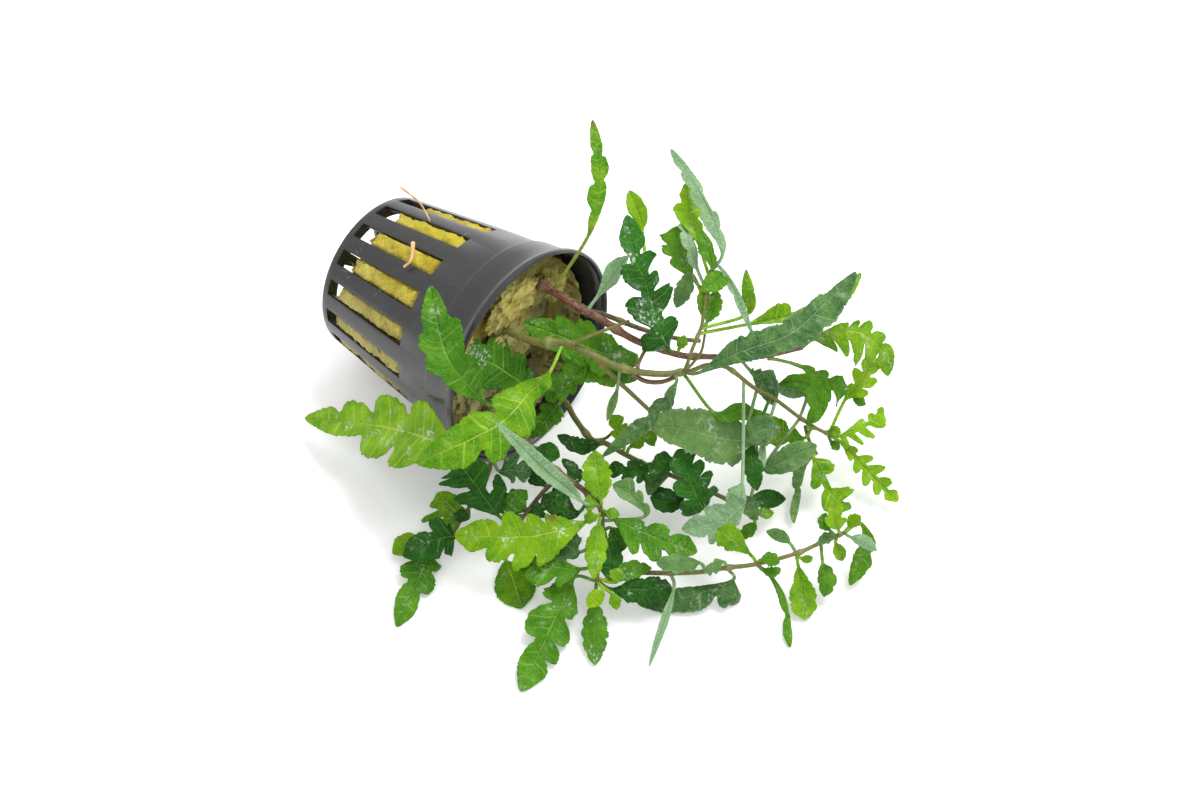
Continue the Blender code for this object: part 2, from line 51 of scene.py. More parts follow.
def seen(px, py, height):
    across = viewRight * ((px - view["middle"][0]) / view["focalPixels"])
    down = viewUp * ((py - view["middle"][1]) / view["focalPixels"])
    ray = across - down - viewBack
    reach = (height * mm - viewPoint.z) / ray.z
    return viewPoint + ray * reach - plantMiddle


def pictured(point):
    sight = point + plantMiddle - viewPoint
    scale = -view["focalPixels"] / sight.dot(viewBack)
    across, up = sight.dot(viewRight), sight.dot(viewUp)
    return Vector((view["middle"][0] + scale * across, view["middle"][1] - scale * up))


def smoothLine(points, count):
    # evenly spaced points on a smooth curve through the given ones
    padded = [points[0] * 2 - points[1]] + points + [points[-1] * 2 - points[-2]]
    dense = []
    for a, b, c, d in zip(padded, padded[1:], padded[2:], padded[3:]):
        for step in range(curveSteps):
            t = step / curveSteps
            pull = (2 * a - 5 * b + 4 * c - d) * t * t + (3 * b - a - 3 * c + d) * t * t * t
            dense.append(b + ((c - a) * t + pull) / 2)
    dense.append(points[-1])
    lengths = [0]
    for a, b in zip(dense, dense[1:]):
        lengths.append(lengths[-1] + (b - a).length)
    line = []
    place = 0
    for index in range(count):
        wanted = lengths[-1] * index / (count - 1)
        while place < len(dense) - 2 and lengths[place + 1] < wanted:
            place += 1
        part = (wanted - lengths[place]) / (lengths[place + 1] - lengths[place])
        line.append(dense[place].lerp(dense[place + 1], part))
    return line


def smoothStep(value):
    value = min(max(value, 0), 1)
    return value * value * (3 - 2 * value)


# Shader maths: a wire is one output socket, and sums on wires add Math nodes

class Wire:
    def __init__(self, finish, socket):
        self.finish = finish
        self.socket = socket

    def join(self, operation, first, second=None):
        values = {0: first} if second is None else {0: first, 1: second}
        return self.finish.node("ShaderNodeMath", {"operation": operation}, values)

    def __add__(self, other):
        return self.join("ADD", self, other)

    def __radd__(self, other):
        return self.join("ADD", other, self)

    def __sub__(self, other):
        return self.join("SUBTRACT", self, other)

    def __rsub__(self, other):
        return self.join("SUBTRACT", other, self)

    def __mul__(self, other):
        return self.join("MULTIPLY", self, other)

    def __rmul__(self, other):
        return self.join("MULTIPLY", other, self)

    def __abs__(self):
        return self.join("ABSOLUTE", self)

    def part(self):
        return self.join("FRACT", self)

    def above(self, low, high):
        # 0 below low, 1 above high, smooth between them
        settings = {"interpolation_type": "SMOOTHSTEP"}
        return self.finish.node("ShaderNodeMapRange", settings, {0: self, 1: low, 2: high, 3: 0, 4: 1})


class Finish:
    def __init__(self, name, **constants):
        self.material = bpy.data.materials.new(name)
        self.material.use_nodes = True
        self.tree = self.material.node_tree
        self.shader = self.tree.nodes["Principled BSDF"]
        for socket, value in constants.items():
            self.shader.inputs[socket.replace("_", " ")].default_value = value

    def node(self, kind, settings, values, output=0):
        made = self.tree.nodes.new(kind)
        for setting, value in settings.items():
            if setting == "stops":
                ramp = made.color_ramp
                for place, (position, colour) in enumerate(value):
                    stop = ramp.elements[place] if place < 2 else ramp.elements.new(position)
                    stop.position = position
                    stop.color = (*colour, 1)
            else:
                setattr(made, setting, value)
        for socket, value in values.items():
            if isinstance(value, Wire):
                self.tree.links.new(value.socket, made.inputs[socket])
            else:
                made.inputs[socket].default_value = value
        return Wire(self, made.outputs[output])

    def place(self):
        return self.node("ShaderNodeTexCoord", {}, {}, "Object")

    def stretched(self, scale, turn=(0, 0, 0)):
        values = {"Vector": self.place(), "Scale": scale, "Rotation": turn}
        return self.node("ShaderNodeMapping", {}, values)

    def noise(self, scale, detail=3, rough=0.5, where=None):
        values = {"Scale": scale, "Detail": detail, "Roughness": rough, "Vector": where or self.place()}
        return self.node("ShaderNodeTexNoise", {}, values)

    def cells(self, scale, feature="DISTANCE_TO_EDGE"):
        values = {"Scale": scale, "Vector": self.place()}
        return self.node("ShaderNodeTexVoronoi", {"feature": feature}, values)

    def attribute(self, name):
        return self.node("ShaderNodeAttribute", {"attribute_name": name}, {}, "Fac")

    def alongAndAcross(self, name):
        uv = self.node("ShaderNodeUVMap", {"uv_map": name}, {})
        return [self.node("ShaderNodeSeparateXYZ", {}, {0: uv}, axis) for axis in ("X", "Y")]

    def ramp(self, stops, value):
        return self.node("ShaderNodeValToRGB", {"stops": stops}, {0: value})

    def clamped(self, value):
        return self.node("ShaderNodeClamp", {}, {0: value})

    def blend(self, factor, first, second):
        # the colours are sockets 6 and 7 of the Mix node, and its colour is output 2
        first = first if isinstance(first, Wire) else (*first, 1)
        second = second if isinstance(second, Wire) else (*second, 1)
        return self.node("ShaderNodeMix", {"data_type": "RGBA"}, {0: factor, 6: first, 7: second}, 2)

    def feed(self, socket, wire):
        self.tree.links.new(wire.socket, self.shader.inputs[socket])

    def bump(self, height, distance, strength):
        values = {"Height": height, "Distance": distance, "Strength": strength}
        self.feed("Normal", self.node("ShaderNodeBump", {}, values))


# Leaf finishes

leafLooks = {
    "lime": {"deep": (0.05, 0.2, 0.001), "light": (0.25, 0.46, 0.003), "vein": (0.42, 0.6, 0.08),
             "rough": 0.36, "back": "palelime"},
    "mid": {"deep": (0.018, 0.115, 0.002), "light": (0.1, 0.285, 0.008), "vein": (0.24, 0.43, 0.07),
            "rough": 0.33, "back": "pale"},
    "dark": {"deep": (0.003, 0.04, 0.003), "light": (0.022, 0.13, 0.01), "vein": (0.12, 0.3, 0.04),
             "rough": 0.27, "back": "pale"},
    "dull": {"deep": (0.018, 0.09, 0.012), "light": (0.15, 0.3, 0.07), "vein": (0.4, 0.55, 0.28),
             "rough": 0.45, "back": "pale"},
    "pale": {"deep": (0.11, 0.25, 0.09), "light": (0.24, 0.4, 0.2), "vein": (0.5, 0.62, 0.42),
             "rough": 0.6, "back": "mid"},
    "palelime": {"deep": (0.16, 0.32, 0.05), "light": (0.3, 0.47, 0.12), "vein": (0.48, 0.6, 0.28),
                 "rough": 0.55, "back": "lime"},
}

# scales are in cells for each metre, edges are where a mark fades in and is full, sizes are in m
leafSkin = {"bend": 260, "patches": 170, "specks": 1500, "cells": 820, "hairs": 1100, "wet": 210,
            "paintedGlints": 1250, "midribEdge": (0.02, 0.055), "veinEdge": (0.935, 0.99),
            "smallVeinEdge": (0.88, 0.98), "netEdge": (0.02, 0.14), "patchEdge": (0.3, 0.72),
            "hairEdge": (0.45, 0.75), "wetEdge": (0.5, 0.66), "paintedGlintEdge": (0.52, 0.62),
            "silver": (0.66, 0.74, 0.6), "paintedHighlight": (0.72, 0.8, 0.66), "brown": (0.2, 0.1, 0.03),
            "bump": 0.0003}


def leafFinish(name, looks):
    isBack = name.startswith("pale")
    isHairy = isBack or name == "dull"
    finish = Finish("leaf" + name.title(), Specular_IOR_Level=0.1, Coat_Roughness=0.16)
    across, along = finish.alongAndAcross("leafMap")
    fromRib = abs(across * 2 - 1)
    bend = finish.noise(leafSkin["bend"], 2, 0.5) * 0.12
    midrib = 1 - (fromRib + bend * 0.1).above(*leafSkin["midribEdge"])
    toVein = abs((along + bend - 0.06).part() - 0.5) * 2
    sideVein = toVein.above(*leafSkin["veinEdge"]) * (0.8 - fromRib * 0.45)
    toSmallVein = abs((along * 2 + bend + 0.44).part() - 0.5) * 2
    smallVein = toSmallVein.above(*leafSkin["smallVeinEdge"]) * 0.35 * (1 - fromRib.above(0.5, 0.95))
    netting = 1 - finish.cells(leafSkin["cells"]).above(*leafSkin["netEdge"])
    veins = midrib + sideVein + smallVein
    vein = finish.clamped(veins + netting * 0.2)
    patches = finish.noise(leafSkin["patches"], 3, 0.6)
    specks = finish.noise(leafSkin["specks"], 2, 0.5)
    pucker = finish.cells(leafSkin["cells"], "F1")
    tone = finish.attribute("tone")
    # painted shade: the colour darkens towards the edges of the pucker cells, in the grooves between them
    shade = patches.above(*leafSkin["patchEdge"]) * 0.55 + tone * 0.6 - 0.12 + specks * 0.12 - pucker * 0.22
    green = finish.blend(finish.clamped(shade), looks["deep"], looks["light"])
    veined = finish.blend(vein * (0.42 if isHairy else 0.7), green, looks["vein"])
    if isHairy:
        hairs = finish.noise(leafSkin["hairs"], 3, 0.7, finish.stretched((1, 4, 2), (0.5, 0.2, 0.9)))
        silver = hairs.above(*leafSkin["hairEdge"]) * (0.42 if isBack else 0.1) + fromRib.above(0.8, 1) * 0.1
        veined = finish.blend(silver, veined, leafSkin["silver"])
    # water left on the blade: a glossy sheen along the midrib, and small bright specks painted into the
    # colour as painted highlights on the drops
    dew = finish.attribute("dew")
    sheen = finish.noise(leafSkin["wet"], 3, 0.6).above(*leafSkin["wetEdge"]) * (1 - fromRib.above(0.25, 1))
    paintedGlints = finish.noise(leafSkin["paintedGlints"], 2, 0.6).above(*leafSkin["paintedGlintEdge"]) * sheen * dew
    # painted highlight: bright specks blended into the base colour where the sheen lies and the leaf is wet
    withPaintedGlints = finish.blend(paintedGlints * 0.8, veined, leafSkin["paintedHighlight"])
    browned = finish.blend(finish.attribute("age"), withPaintedGlints, leafSkin["brown"])
    finish.feed("Base Color", browned)
    finish.feed("Roughness", looks["rough"] + 0.1 - 0.2 * (sheen * dew))
    finish.feed("Coat Weight", 0.02 + 0.9 * (sheen * dew))
    sink = 0.5 if isBack else -0.6
    finish.bump(veins * sink + netting * (sink * 0.4) - pucker * 0.4 + specks * 0.3, leafSkin["bump"], 0.9)
    return finish.material


# Other finishes

def potFinish():
    finish = Finish("potBlack", Specular_IOR_Level=0.6)
    clouds = finish.noise(55, 4, 0.6)
    dust = finish.noise(900, 2, 0.7).above(0.62, 0.74)
    scuffs = finish.noise(40, 4, 0.7, finish.stretched((1, 7, 3), (0.3, 0.2, 0.7))).above(0.56, 0.7)
    black = finish.blend(clouds, (0.010, 0.010, 0.011), (0.022, 0.022, 0.024))
    finish.feed("Base Color", finish.blend(dust * 0.25 + scuffs * 0.1, black, (0.11, 0.11, 0.115)))
    finish.feed("Roughness", 0.22 + 0.14 * clouds + 0.12 * scuffs)
    finish.bump(finish.noise(700, 3, 0.5) * 0.4 + finish.noise(60, 2, 0.5), 0.0001, 0.35)
    return finish.material


woolShadeHeights = (0.028, 0.047)  # heights in m over which the painted shade on the lower wool fades out: below them the wool is greyer and its stains darker
woolShades = {"wool": [(0.3, (0.14, 0.11, 0.02)), (0.42, (0.36, 0.29, 0.03)), (0.56, (0.56, 0.46, 0.045)),
                       (0.75, (0.74, 0.65, 0.15))],
              "woolTorn": [(0.3, (0.16, 0.13, 0.035)), (0.42, (0.38, 0.32, 0.075)),
                           (0.56, (0.57, 0.49, 0.13)), (0.75, (0.76, 0.69, 0.27))]}


def woolFinish(name, stops):
    finish = Finish(name, Roughness=0.95, Specular_IOR_Level=0.05)
    grain = finish.noise(420, 5, 0.7, finish.stretched((1, 5, 2.2), (0.4, 0.5, 0.67)))
    strands = finish.noise(380, 4, 0.7, finish.stretched((4.5, 1, 1.6), (0.2, 0.9, 0.3)))
    stains = finish.noise(95, 4, 0.65)
    tone = finish.attribute("tone")
    mixed = grain * 0.28 + strands * 0.26 + stains * 0.24 + tone * 0.26
    olive = finish.ramp(stops, mixed)
    height = finish.node("ShaderNodeSeparateXYZ", {}, {0: finish.place()}, "Z")
    # painted shade: below the given heights the wool is blended towards grey and its dark stains are laid on
    # more thickly
    paintedLowShade = 1 - height.above(*woolShadeHeights)
    olivePaintedShade = finish.blend(paintedLowShade * 0.5, olive, (0.4, 0.38, 0.24))
    dirtAndPaintedShade = finish.noise(130, 4, 0.7, finish.stretched((3, 1, 1.4), (0.2, 0.9, 0.3))).above(0.56, 0.68)
    finish.feed("Base Color", finish.blend(dirtAndPaintedShade * (paintedLowShade * 0.6 + 0.12), olivePaintedShade, (0.09, 0.075, 0.035)))
    finish.bump(grain + strands, 0.0009, 0.7)
    return finish.material


def fibreFinish():
    finish = Finish("woolFibre", Roughness=0.7, Specular_IOR_Level=0.3)
    stops = [(0.3, (0.36, 0.3, 0.06)), (0.5, (0.62, 0.55, 0.14)), (0.7, (0.82, 0.8, 0.48))]
    finish.feed("Base Color", finish.ramp(stops, finish.noise(300, 2, 0.6)))
    return finish.material


def stemFinish(name, skin, flush, cream):
    finish = Finish(name, Specular_IOR_Level=0.3)
    around, along = finish.alongAndAcross("stemMap")
    where = finish.node("ShaderNodeCombineXYZ", {}, {0: around * 9, 1: along * 0.5, 2: 0.0})
    streaks = finish.noise(1.0, 4, 0.6, where)
    mottle = finish.noise(420, 3, 0.6)
    body = finish.blend(streaks.above(0.32, 0.66), skin, flush)
    knots = finish.attribute("knot")
    marked = finish.blend(mottle.above(0.58, 0.75) * 0.25 + knots * 0.35, body, cream)
    finish.feed("Base Color", marked)
    finish.feed("Roughness", 0.36 + 0.25 * mottle)
    finish.bump(streaks * 0.6 + mottle * 0.4, 0.0002, 0.6)
    return finish.material


def plainFinish(name, first, second, rough):
    finish = Finish(name, Specular_IOR_Level=0.4)
    grain = finish.noise(500, 4, 0.6)
    finish.feed("Base Color", finish.blend(grain.above(0.3, 0.7), first, second))
    finish.feed("Roughness", rough + 0.15 * grain)
    finish.bump(grain, 0.0002, 0.5)
    return finish.material


finishes = {name: leafFinish(name, looks) for name, looks in leafLooks.items()}
finishes["pot"] = potFinish()
finishes.update({name: woolFinish(name, stops) for name, stops in woolShades.items()})
finishes["fibre"] = fibreFinish()
finishes["brownStem"] = stemFinish("stemBrown", (0.1, 0.055, 0.025), (0.2, 0.15, 0.06), (0.34, 0.3, 0.14))
finishes["redStem"] = stemFinish("stemRed", (0.07, 0.02, 0.016), (0.22, 0.11, 0.06), (0.4, 0.27, 0.14))
finishes["greenStem"] = stemFinish("stemGreen", (0.09, 0.15, 0.015), (0.2, 0.15, 0.05), (0.34, 0.36, 0.12))
finishes["root"] = plainFinish("rootTan", (0.5, 0.27, 0.11), (0.78, 0.5, 0.26), 0.45)
finishes["hair"] = plainFinish("hairWhite", (0.6, 0.66, 0.55), (0.75, 0.78, 0.7), 0.6)
print("finishes ready")


# Modelling helpers

def addGrid(name, columns, rows):
    # one unit square, ready to be shaped: x runs across and y along
    bpy.ops.object.select_all(action="DESELECT")
    bpy.ops.mesh.primitive_grid_add(x_subdivisions=columns, y_subdivisions=rows, size=1, location=(0, 0, 0))
    grid = bpy.context.active_object
    grid.name = name
    return grid


def onlyThis(piece):
    bpy.ops.object.select_all(action="DESELECT")
    piece.select_set(True)
    bpy.context.view_layer.objects.active = piece


def applyModifiers(piece):
    onlyThis(piece)
    for modifier in list(piece.modifiers):
        bpy.ops.object.modifier_apply(modifier=modifier.name)


def closeSeams(piece, distance=0.01 * mm):
    # welds what lies within the distance, and turns the faces outwards
    onlyThis(piece)
    bpy.ops.object.mode_set(mode="EDIT")
    bpy.ops.mesh.select_all(action="SELECT")
    if distance:
        bpy.ops.mesh.remove_doubles(threshold=distance)
    bpy.ops.mesh.normals_make_consistent(inside=False)
    bpy.ops.object.mode_set(mode="OBJECT")


def smoothShade(piece, angle):
    onlyThis(piece)
    bpy.ops.object.shade_smooth_by_angle(angle=radians(angle))


def finishPiece(piece, slot, nodes=()):
    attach(piece, "root")
    if nodes:
        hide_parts(*nodes)


def setAttribute(mesh, name, values):
    layer = mesh.attributes.new(name, "FLOAT", "POINT")
    layer.data.foreach_set("value", values)


def newMap(mesh, name):
    while mesh.uv_layers:
        mesh.uv_layers.remove(mesh.uv_layers[0])
    return mesh.uv_layers.new(name=name)


# Net pot: its own axes are side (x), top (y) and depth into the pot (z), then it is laid down

pot = {"slots": 16, "columnsPerSlot": 8, "wall": 1.0, "turn": radians(-9.5), "slotStart": 20.0,
       "slotEnd": 47.8, "height": 49.6, "baseRing": 16.5, "rimRadius": 27.5, "baseRadius": 19.9,
       "azimuth": radians(-40.3), "rimMiddle": (-16.3, -7.3), "edge": 0.14, "edgeAngle": 50, "smooth": 42,
       "hub": 5.0, "baseTop": 48,
       "rings": [(0.0, 27.1), (0.2, 27.45), (0.7, 27.5), (1.2, 27.2), (1.7, 26.75), (2.6, 26.45), (5.5, 26.1),
                 (9.0, 25.72), (9.55, 25.6), (9.75, 25.1), (10.3, 24.98), (20.0, 23.9), (29.0, 22.7),
                 (38.0, 21.45), (47.8, 20.1), (49.2, 19.95), (49.6, 19.6), (49.6, 16.5), (49.6, 5.0)]}
potSlope = (pot["rimRadius"] - pot["baseRadius"]) / pot["height"]
potLean = 1 / sqrt(1 + potSlope * potSlope)
potOut = Vector((cos(pot["azimuth"]) * potLean, sin(pot["azimuth"]) * potLean, potSlope * potLean))
potSide = potOut.cross(Vector((0, 0, 1))).normalized()
potTop = potSide.cross(potOut)
potMiddle = Vector((*pot["rimMiddle"], pot["rimRadius"] * potLean)) * mm - plantMiddle
potPlace = Matrix.Translation(potMiddle) @ Matrix((potSide, potTop, -potOut)).transposed().to_4x4()


def intoPot(piece):
    piece.data.transform(potPlace)
    piece.data.update()


def makePot():
    columns = pot["slots"] * pot["columnsPerSlot"]
    half = pot["wall"] / 2
    rings = [(min(depth, pot["height"] - half), radius - half) for depth, radius in pot["rings"]]
    bpy.ops.object.select_all(action="DESELECT")
    bpy.ops.mesh.primitive_circle_add(vertices=columns, radius=rings[0][1] * mm, fill_type="NOTHING",
                                      location=(0, 0, 0), rotation=(0, 0, -pot["turn"]))
    piece = bpy.context.active_object
    piece.name = "netPot"
    bpy.ops.object.transform_apply(location=False, rotation=True, scale=False)
    bpy.ops.object.mode_set(mode="EDIT")
    bpy.ops.mesh.select_all(action="SELECT")
    for (depth, radius), (nextDepth, nextRadius) in zip(rings, rings[1:]):
        bpy.ops.mesh.extrude_edges_move(TRANSFORM_OT_translate={"value": (0, 0, (nextDepth - depth) * mm)})
        scale = nextRadius / radius
        bpy.ops.transform.resize(value=(scale, scale, 1), center_override=(0, 0, 0))
    bpy.ops.mesh.edge_face_add()
    bpy.ops.mesh.select_all(action="SELECT")
    bpy.ops.mesh.normals_make_consistent(inside=False)
    bpy.ops.mesh.select_all(action="DESELECT")
    bpy.ops.object.mode_set(mode="OBJECT")
    # the faces of the slots and of every second opening in the base are taken out
    perSlot = pot["columnsPerSlot"]
    for face in piece.data.polygons:
        middle = face.center / mm
        radius = sqrt(middle.x ** 2 + middle.y ** 2)
        turns = (atan2(middle.x, middle.y) - pot["turn"]) / (2 * pi) * columns + perSlot / 4
        inSlot = turns % perSlot < perSlot / 2 and pot["slotStart"] < middle.z < pot["slotEnd"]
        inOpening = turns % (2 * perSlot) > perSlot / 2 and middle.z > pot["baseTop"]
        inOpening = inOpening and pot["hub"] < radius < pot["baseRing"]
        face.select = inSlot or inOpening
    bpy.ops.object.mode_set(mode="EDIT")
    bpy.ops.mesh.delete(type="FACE")
    bpy.ops.object.mode_set(mode="OBJECT")
    wall = piece.modifiers.new("wall", "SOLIDIFY")
    wall.thickness = pot["wall"] * mm
    wall.offset = 0
    wall.use_even_offset = True
    edge = piece.modifiers.new("edge", "BEVEL")
    edge.width = pot["edge"] * mm
    edge.segments = 2
    edge.limit_method = "ANGLE"
    edge.angle_limit = radians(pot["edgeAngle"])
    applyModifiers(piece)
    intoPot(piece)
    smoothShade(piece, pot["smooth"])
    piece.data.materials.append(finishes["pot"])
    finishPiece(piece, "pot_black", ["net_pot"])


makePot()
print("pot ready")


# Torn wool: a plug that fills the pot, loose pieces on its face, and fine fibres all over

wool = {"rows": 150, "columns": 256, "backDepth": 43.4, "backTilt": 2.8, "backTurn": 130, "faceDepth": 5.0,
        "wallGap": 0.1, "bulge": 0.95, "frontShare": 0.24, "sideShare": 0.6, "backShare": 0.16,
        "frontRound": 1.35, "backRound": 1.3, "leastDepth": 12, "slotHalf": 0.19, "slotEdge": 0.05,
        "slotFade": 1.5, "faceLumps": 2.6, "faceFuzz": 0.9, "backLumps": 1.8, "backFuzz": 0.8,
        "backSink": 0.6, "sideLumps": 0.03, "sideFuzz": 0.022, "fuzzMost": 0.4, "endShare": 0.4,
        # noise scale and seed of each kind of roughness
        "lumps": (0.085, 3), "fuzz": (0.5, 8), "mottle": (0.16, 17),
        "hollowFar": (3, 13, 9), "hollowLow": (4, 12, 5), "facePaintedShade": 1.2, "sidePaintedShade": 0.3,
        "chunkLeast": 0.85, "chunkLayers": (1.1, 0.5), "chunkFolds": (1.9, 0.4), "chunkFuzz": (5, 0.08),
        # each torn piece: depth, angle round the pot, distance from its middle, half sizes, and seed
        "chunks": {"flap": (3.2, -2, 16.5, (8.2, 4.6, 2.6), 11),
                   "chunk": (4.2, -52, 17.5, (3.8, 3.2, 3.6), 23),
                   "mass": (4.6, 85, 13.0, (9.5, 7.0, 3.4), 31),
                   "tuft": (3.4, 66, 10.5, (5.0, 4.0, 2.4), 47),
                   "lower": (4.4, 128, 14.0, (6.0, 5.0, 3.0), 59),
                   "torn": (3.6, 28, 9.0, (4.6, 3.4, 2.2), 71)},
        "fibres": {"count": 4200, "long": (1.2, 4.0), "thick": 0.035, "lift": (0.005, 0.16), "looks": "fibre",
                   "seed": 5}}
fibreShape = {"sides": 3, "cuts": (0.25, 0.5, 0.75), "thickRange": (0.6, 1.4), "bend": (0.1, 0.45),
              "sway": 0.3, "floorGap": 0.1, "floorLean": 0.05}


def rough(point, scale, seed):
    return noise.fractal(point * scale + Vector((seed, 2 * seed, -seed)), 0.7, 2.1, 5)


def potRadius(depth):
    rings = pot["rings"]
    for (depthA, radiusA), (depthB, radiusB) in zip(rings, rings[1:]):
        if depth <= depthB:
            return radiusA + (radiusB - radiusA) * (depth - depthA) / max(depthB - depthA, 0.001)
    return rings[-1][1]


def makeWoolPlug():
    rows, columns = wool["rows"], wool["columns"]
    piece = addGrid("woolPlug", columns, rows)
    tones = []
    for vertex in piece.data.vertices:
        turn = (vertex.co.x + 0.5) * 2 * pi + pot["turn"]
        along = vertex.co.y + 0.5
        # the front share of the rows closes the torn face, and the back share the far end
        front = min(along / wool["frontShare"], 1)
        back = min((1 - along) / wool["backShare"], 1)
        wide = smoothStep(front * wool["frontRound"]) if front < 1 else smoothStep(back * wool["backRound"])
        deep = wool["backDepth"] + wool["backTilt"] * cos(turn - radians(wool["backTurn"]))
        sidePart = min(max((along - wool["frontShare"]) / wool["sideShare"], 0), 1)
        depth = wool["faceDepth"] + (deep - wool["faceDepth"]) * sidePart
        radius = potRadius(max(depth, wool["leastDepth"])) - pot["wall"] - wool["wallGap"]
        # the wool swells into the slots and stays behind the ribs
        fromSlot = abs(((turn - pot["turn"]) / (2 * pi) * pot["slots"] + 0.5) % 1 - 0.5)
        inSlot = 1 - smoothStep((fromSlot - wool["slotHalf"]) / wool["slotEdge"])
        pastStart = smoothStep((depth - pot["slotStart"] - 0.5) / wool["slotFade"])
        beforeEnd = smoothStep((pot["slotEnd"] - 1 - depth) / wool["slotFade"])
        inSlot *= pastStart * beforeEnd
        radius = (radius + wool["bulge"] * inSlot) * min(wide, 1)
        x, y = radius * sin(turn), radius * cos(turn)
        spot = Vector((x, y, depth * (1 if front >= 1 else 0.2)))
        lump, fuzz = rough(spot, *wool["lumps"]), rough(spot, *wool["fuzz"])
        if front < 1:
            # the torn face: hollow on the far side, where the bare wall shows
            (nearX, longX, deepX), (nearY, longY, deepY) = wool["hollowFar"], wool["hollowLow"]
            hollow = deepX * smoothStep((-x - nearX) / longX) + deepY * smoothStep((-y - nearY) / longY)
            depth += wool["faceLumps"] * lump + wool["faceFuzz"] * fuzz + hollow
        elif back < 1:
            depth += wool["backLumps"] * lump + wool["backFuzz"] * fuzz - wool["backSink"]
        uneven = wool["sideFuzz"] * min(fuzz, wool["fuzzMost"]) - wool["sideLumps"] * abs(lump)
        push = 1 + uneven * (1 if front >= 1 and back >= 1 else wool["endShare"])
        vertex.co = Vector((x * push, y * push, depth)) * mm
        # painted shade: the tone darkens the lower the wool lies, most on the torn face; the mottle is the
        # wool's own
        dark = wool["facePaintedShade"] if front < 1 else wool["sidePaintedShade"]
        tones.append(0.5 + 0.5 * rough(spot, *wool["mottle"]) - dark * max(y / -20, 0))
    setAttribute(piece.data, "tone", tones)
    closeSeams(piece)
    intoPot(piece)
    onlyThis(piece)
    bpy.ops.object.shade_smooth()
    piece.data.materials.append(finishes["wool"])
    return piece


def makeWoolChunk(name, shape):
    depth, angle, out, size, seed = shape
    bpy.ops.object.select_all(action="DESELECT")
    bpy.ops.mesh.primitive_ico_sphere_add(subdivisions=5, radius=1, location=(0, 0, 0))
    piece = bpy.context.active_object
    piece.name = name
    turn = radians(angle)
    middle = Vector((out * sin(turn), out * cos(turn), depth))
    # torn pieces are slabs: stretched, then broken up by folded noise
    tones = []
    for vertex in piece.data.vertices:
        ball = vertex.co.normalized()
        layers = rough(ball, wool["chunkLayers"][0], seed) * wool["chunkLayers"][1]
        layers = layers + abs(rough(ball, wool["chunkFolds"][0], seed + 5)) * wool["chunkFolds"][1]
        fuzz = rough(ball, wool["chunkFuzz"][0], seed + 9) * wool["chunkFuzz"][1]
        spread = wool["chunkLeast"] + layers + fuzz
        vertex.co = (middle + Vector((ball.x * size[0], ball.y * size[1], ball.z * size[2])) * spread) * mm
        # painted shade: pieces on the lower side of the face get a darker tone
        tones.append(0.62 + 0.55 * rough(ball, 1.6, seed + 3) - wool["facePaintedShade"] * max(-cos(turn), 0))
    setAttribute(piece.data, "tone", tones)
    intoPot(piece)
    onlyThis(piece)
    bpy.ops.object.shade_smooth()
    piece.data.materials.append(finishes["woolTorn"])
    return piece


def makeFibres(name, hosts, fibre):
    # one hair, copied over the hosts' vertices and bent down towards them
    bpy.ops.object.select_all(action="DESELECT")
    bpy.ops.mesh.primitive_cone_add(vertices=fibreShape["sides"], radius1=1, radius2=0, depth=1,
                                    location=(0, 0, 0.5))
    hair = bpy.context.active_object
    hair.name = name
    bpy.ops.object.transform_apply(location=True, rotation=False, scale=False)
    bpy.ops.object.mode_set(mode="EDIT")
    for cut in fibreShape["cuts"]:
        bpy.ops.mesh.select_all(action="SELECT")
        bpy.ops.mesh.bisect(plane_co=(0, 0, cut), plane_no=(0, 0, 1))
    bpy.ops.object.mode_set(mode="OBJECT")
    dice = Random(fibre["seed"])
    spots = []
    for host in hosts:
        spots += [(v.co.copy(), v.normal.copy()) for v in host.data.vertices]
    copies = []
    for index in range(fibre["count"]):
        spot, normal = spots[dice.randrange(len(spots))]
        long = dice.uniform(*fibre["long"]) * mm
        thick = fibre["thick"] * dice.uniform(*fibreShape["thickRange"]) * mm
        swirl = Vector((dice.uniform(-1, 1), dice.uniform(-1, 1), dice.uniform(-1, 1))).normalized()
        along = (swirl - normal * swirl.dot(normal)).normalized()
        lift = dice.uniform(*fibre["lift"])
        ahead = (along + normal * lift).normalized()
        across = ahead.cross(normal).normalized()
        up = across.cross(ahead)
        bend = dice.uniform(*fibreShape["bend"]) * long
        sway = dice.uniform(-fibreShape["sway"], fibreShape["sway"]) * long
        copy = hair.copy()
        copy.data = hair.data.copy()
        for vertex in copy.data.vertices:
            x, y, z = vertex.co
            arc = z * z * bend
            middle = spot + ahead * (z * long) - up * arc + across * (z * z * sway)
            vertex.co = middle + (across * x + up * y) * thick
            vertex.co.z = max(vertex.co.z, (fibreShape["floorGap"] + fibreShape["floorLean"] * y) * mm)
        bpy.context.collection.objects.link(copy)
        copies.append(copy)
    bpy.data.objects.remove(hair)
    bpy.ops.object.select_all(action="DESELECT")
    for copy in copies:
        copy.select_set(True)
    bpy.context.view_layer.objects.active = copies[0]
    bpy.ops.object.join()
    piece = bpy.context.active_object
    piece.name = name
    closeSeams(piece, None)
    bpy.ops.object.shade_smooth()
    piece.data.materials.append(finishes[fibre["looks"]])
    return piece


woolPlug = makeWoolPlug()
woolChunks = {name: makeWoolChunk("wool" + name.title(), shape) for name, shape in wool["chunks"].items()}
woolFibres = makeFibres("woolFibres", [woolPlug] + list(woolChunks.values()), wool["fibres"])
finishPiece(woolPlug, "wool_olive", ["wool_plug"])
for name, piece in woolChunks.items():
    finishPiece(piece, "wool_olive", {"flap": ["wool_flap"], "tuft": ["wool_tuft"]}.get(name, []))
finishPiece(woolFibres, "wool_olive")
print("wool ready")


# Stems, twigs and roots: (pixel x, pixel y, height in mm) along each, radius at the start and end in mm

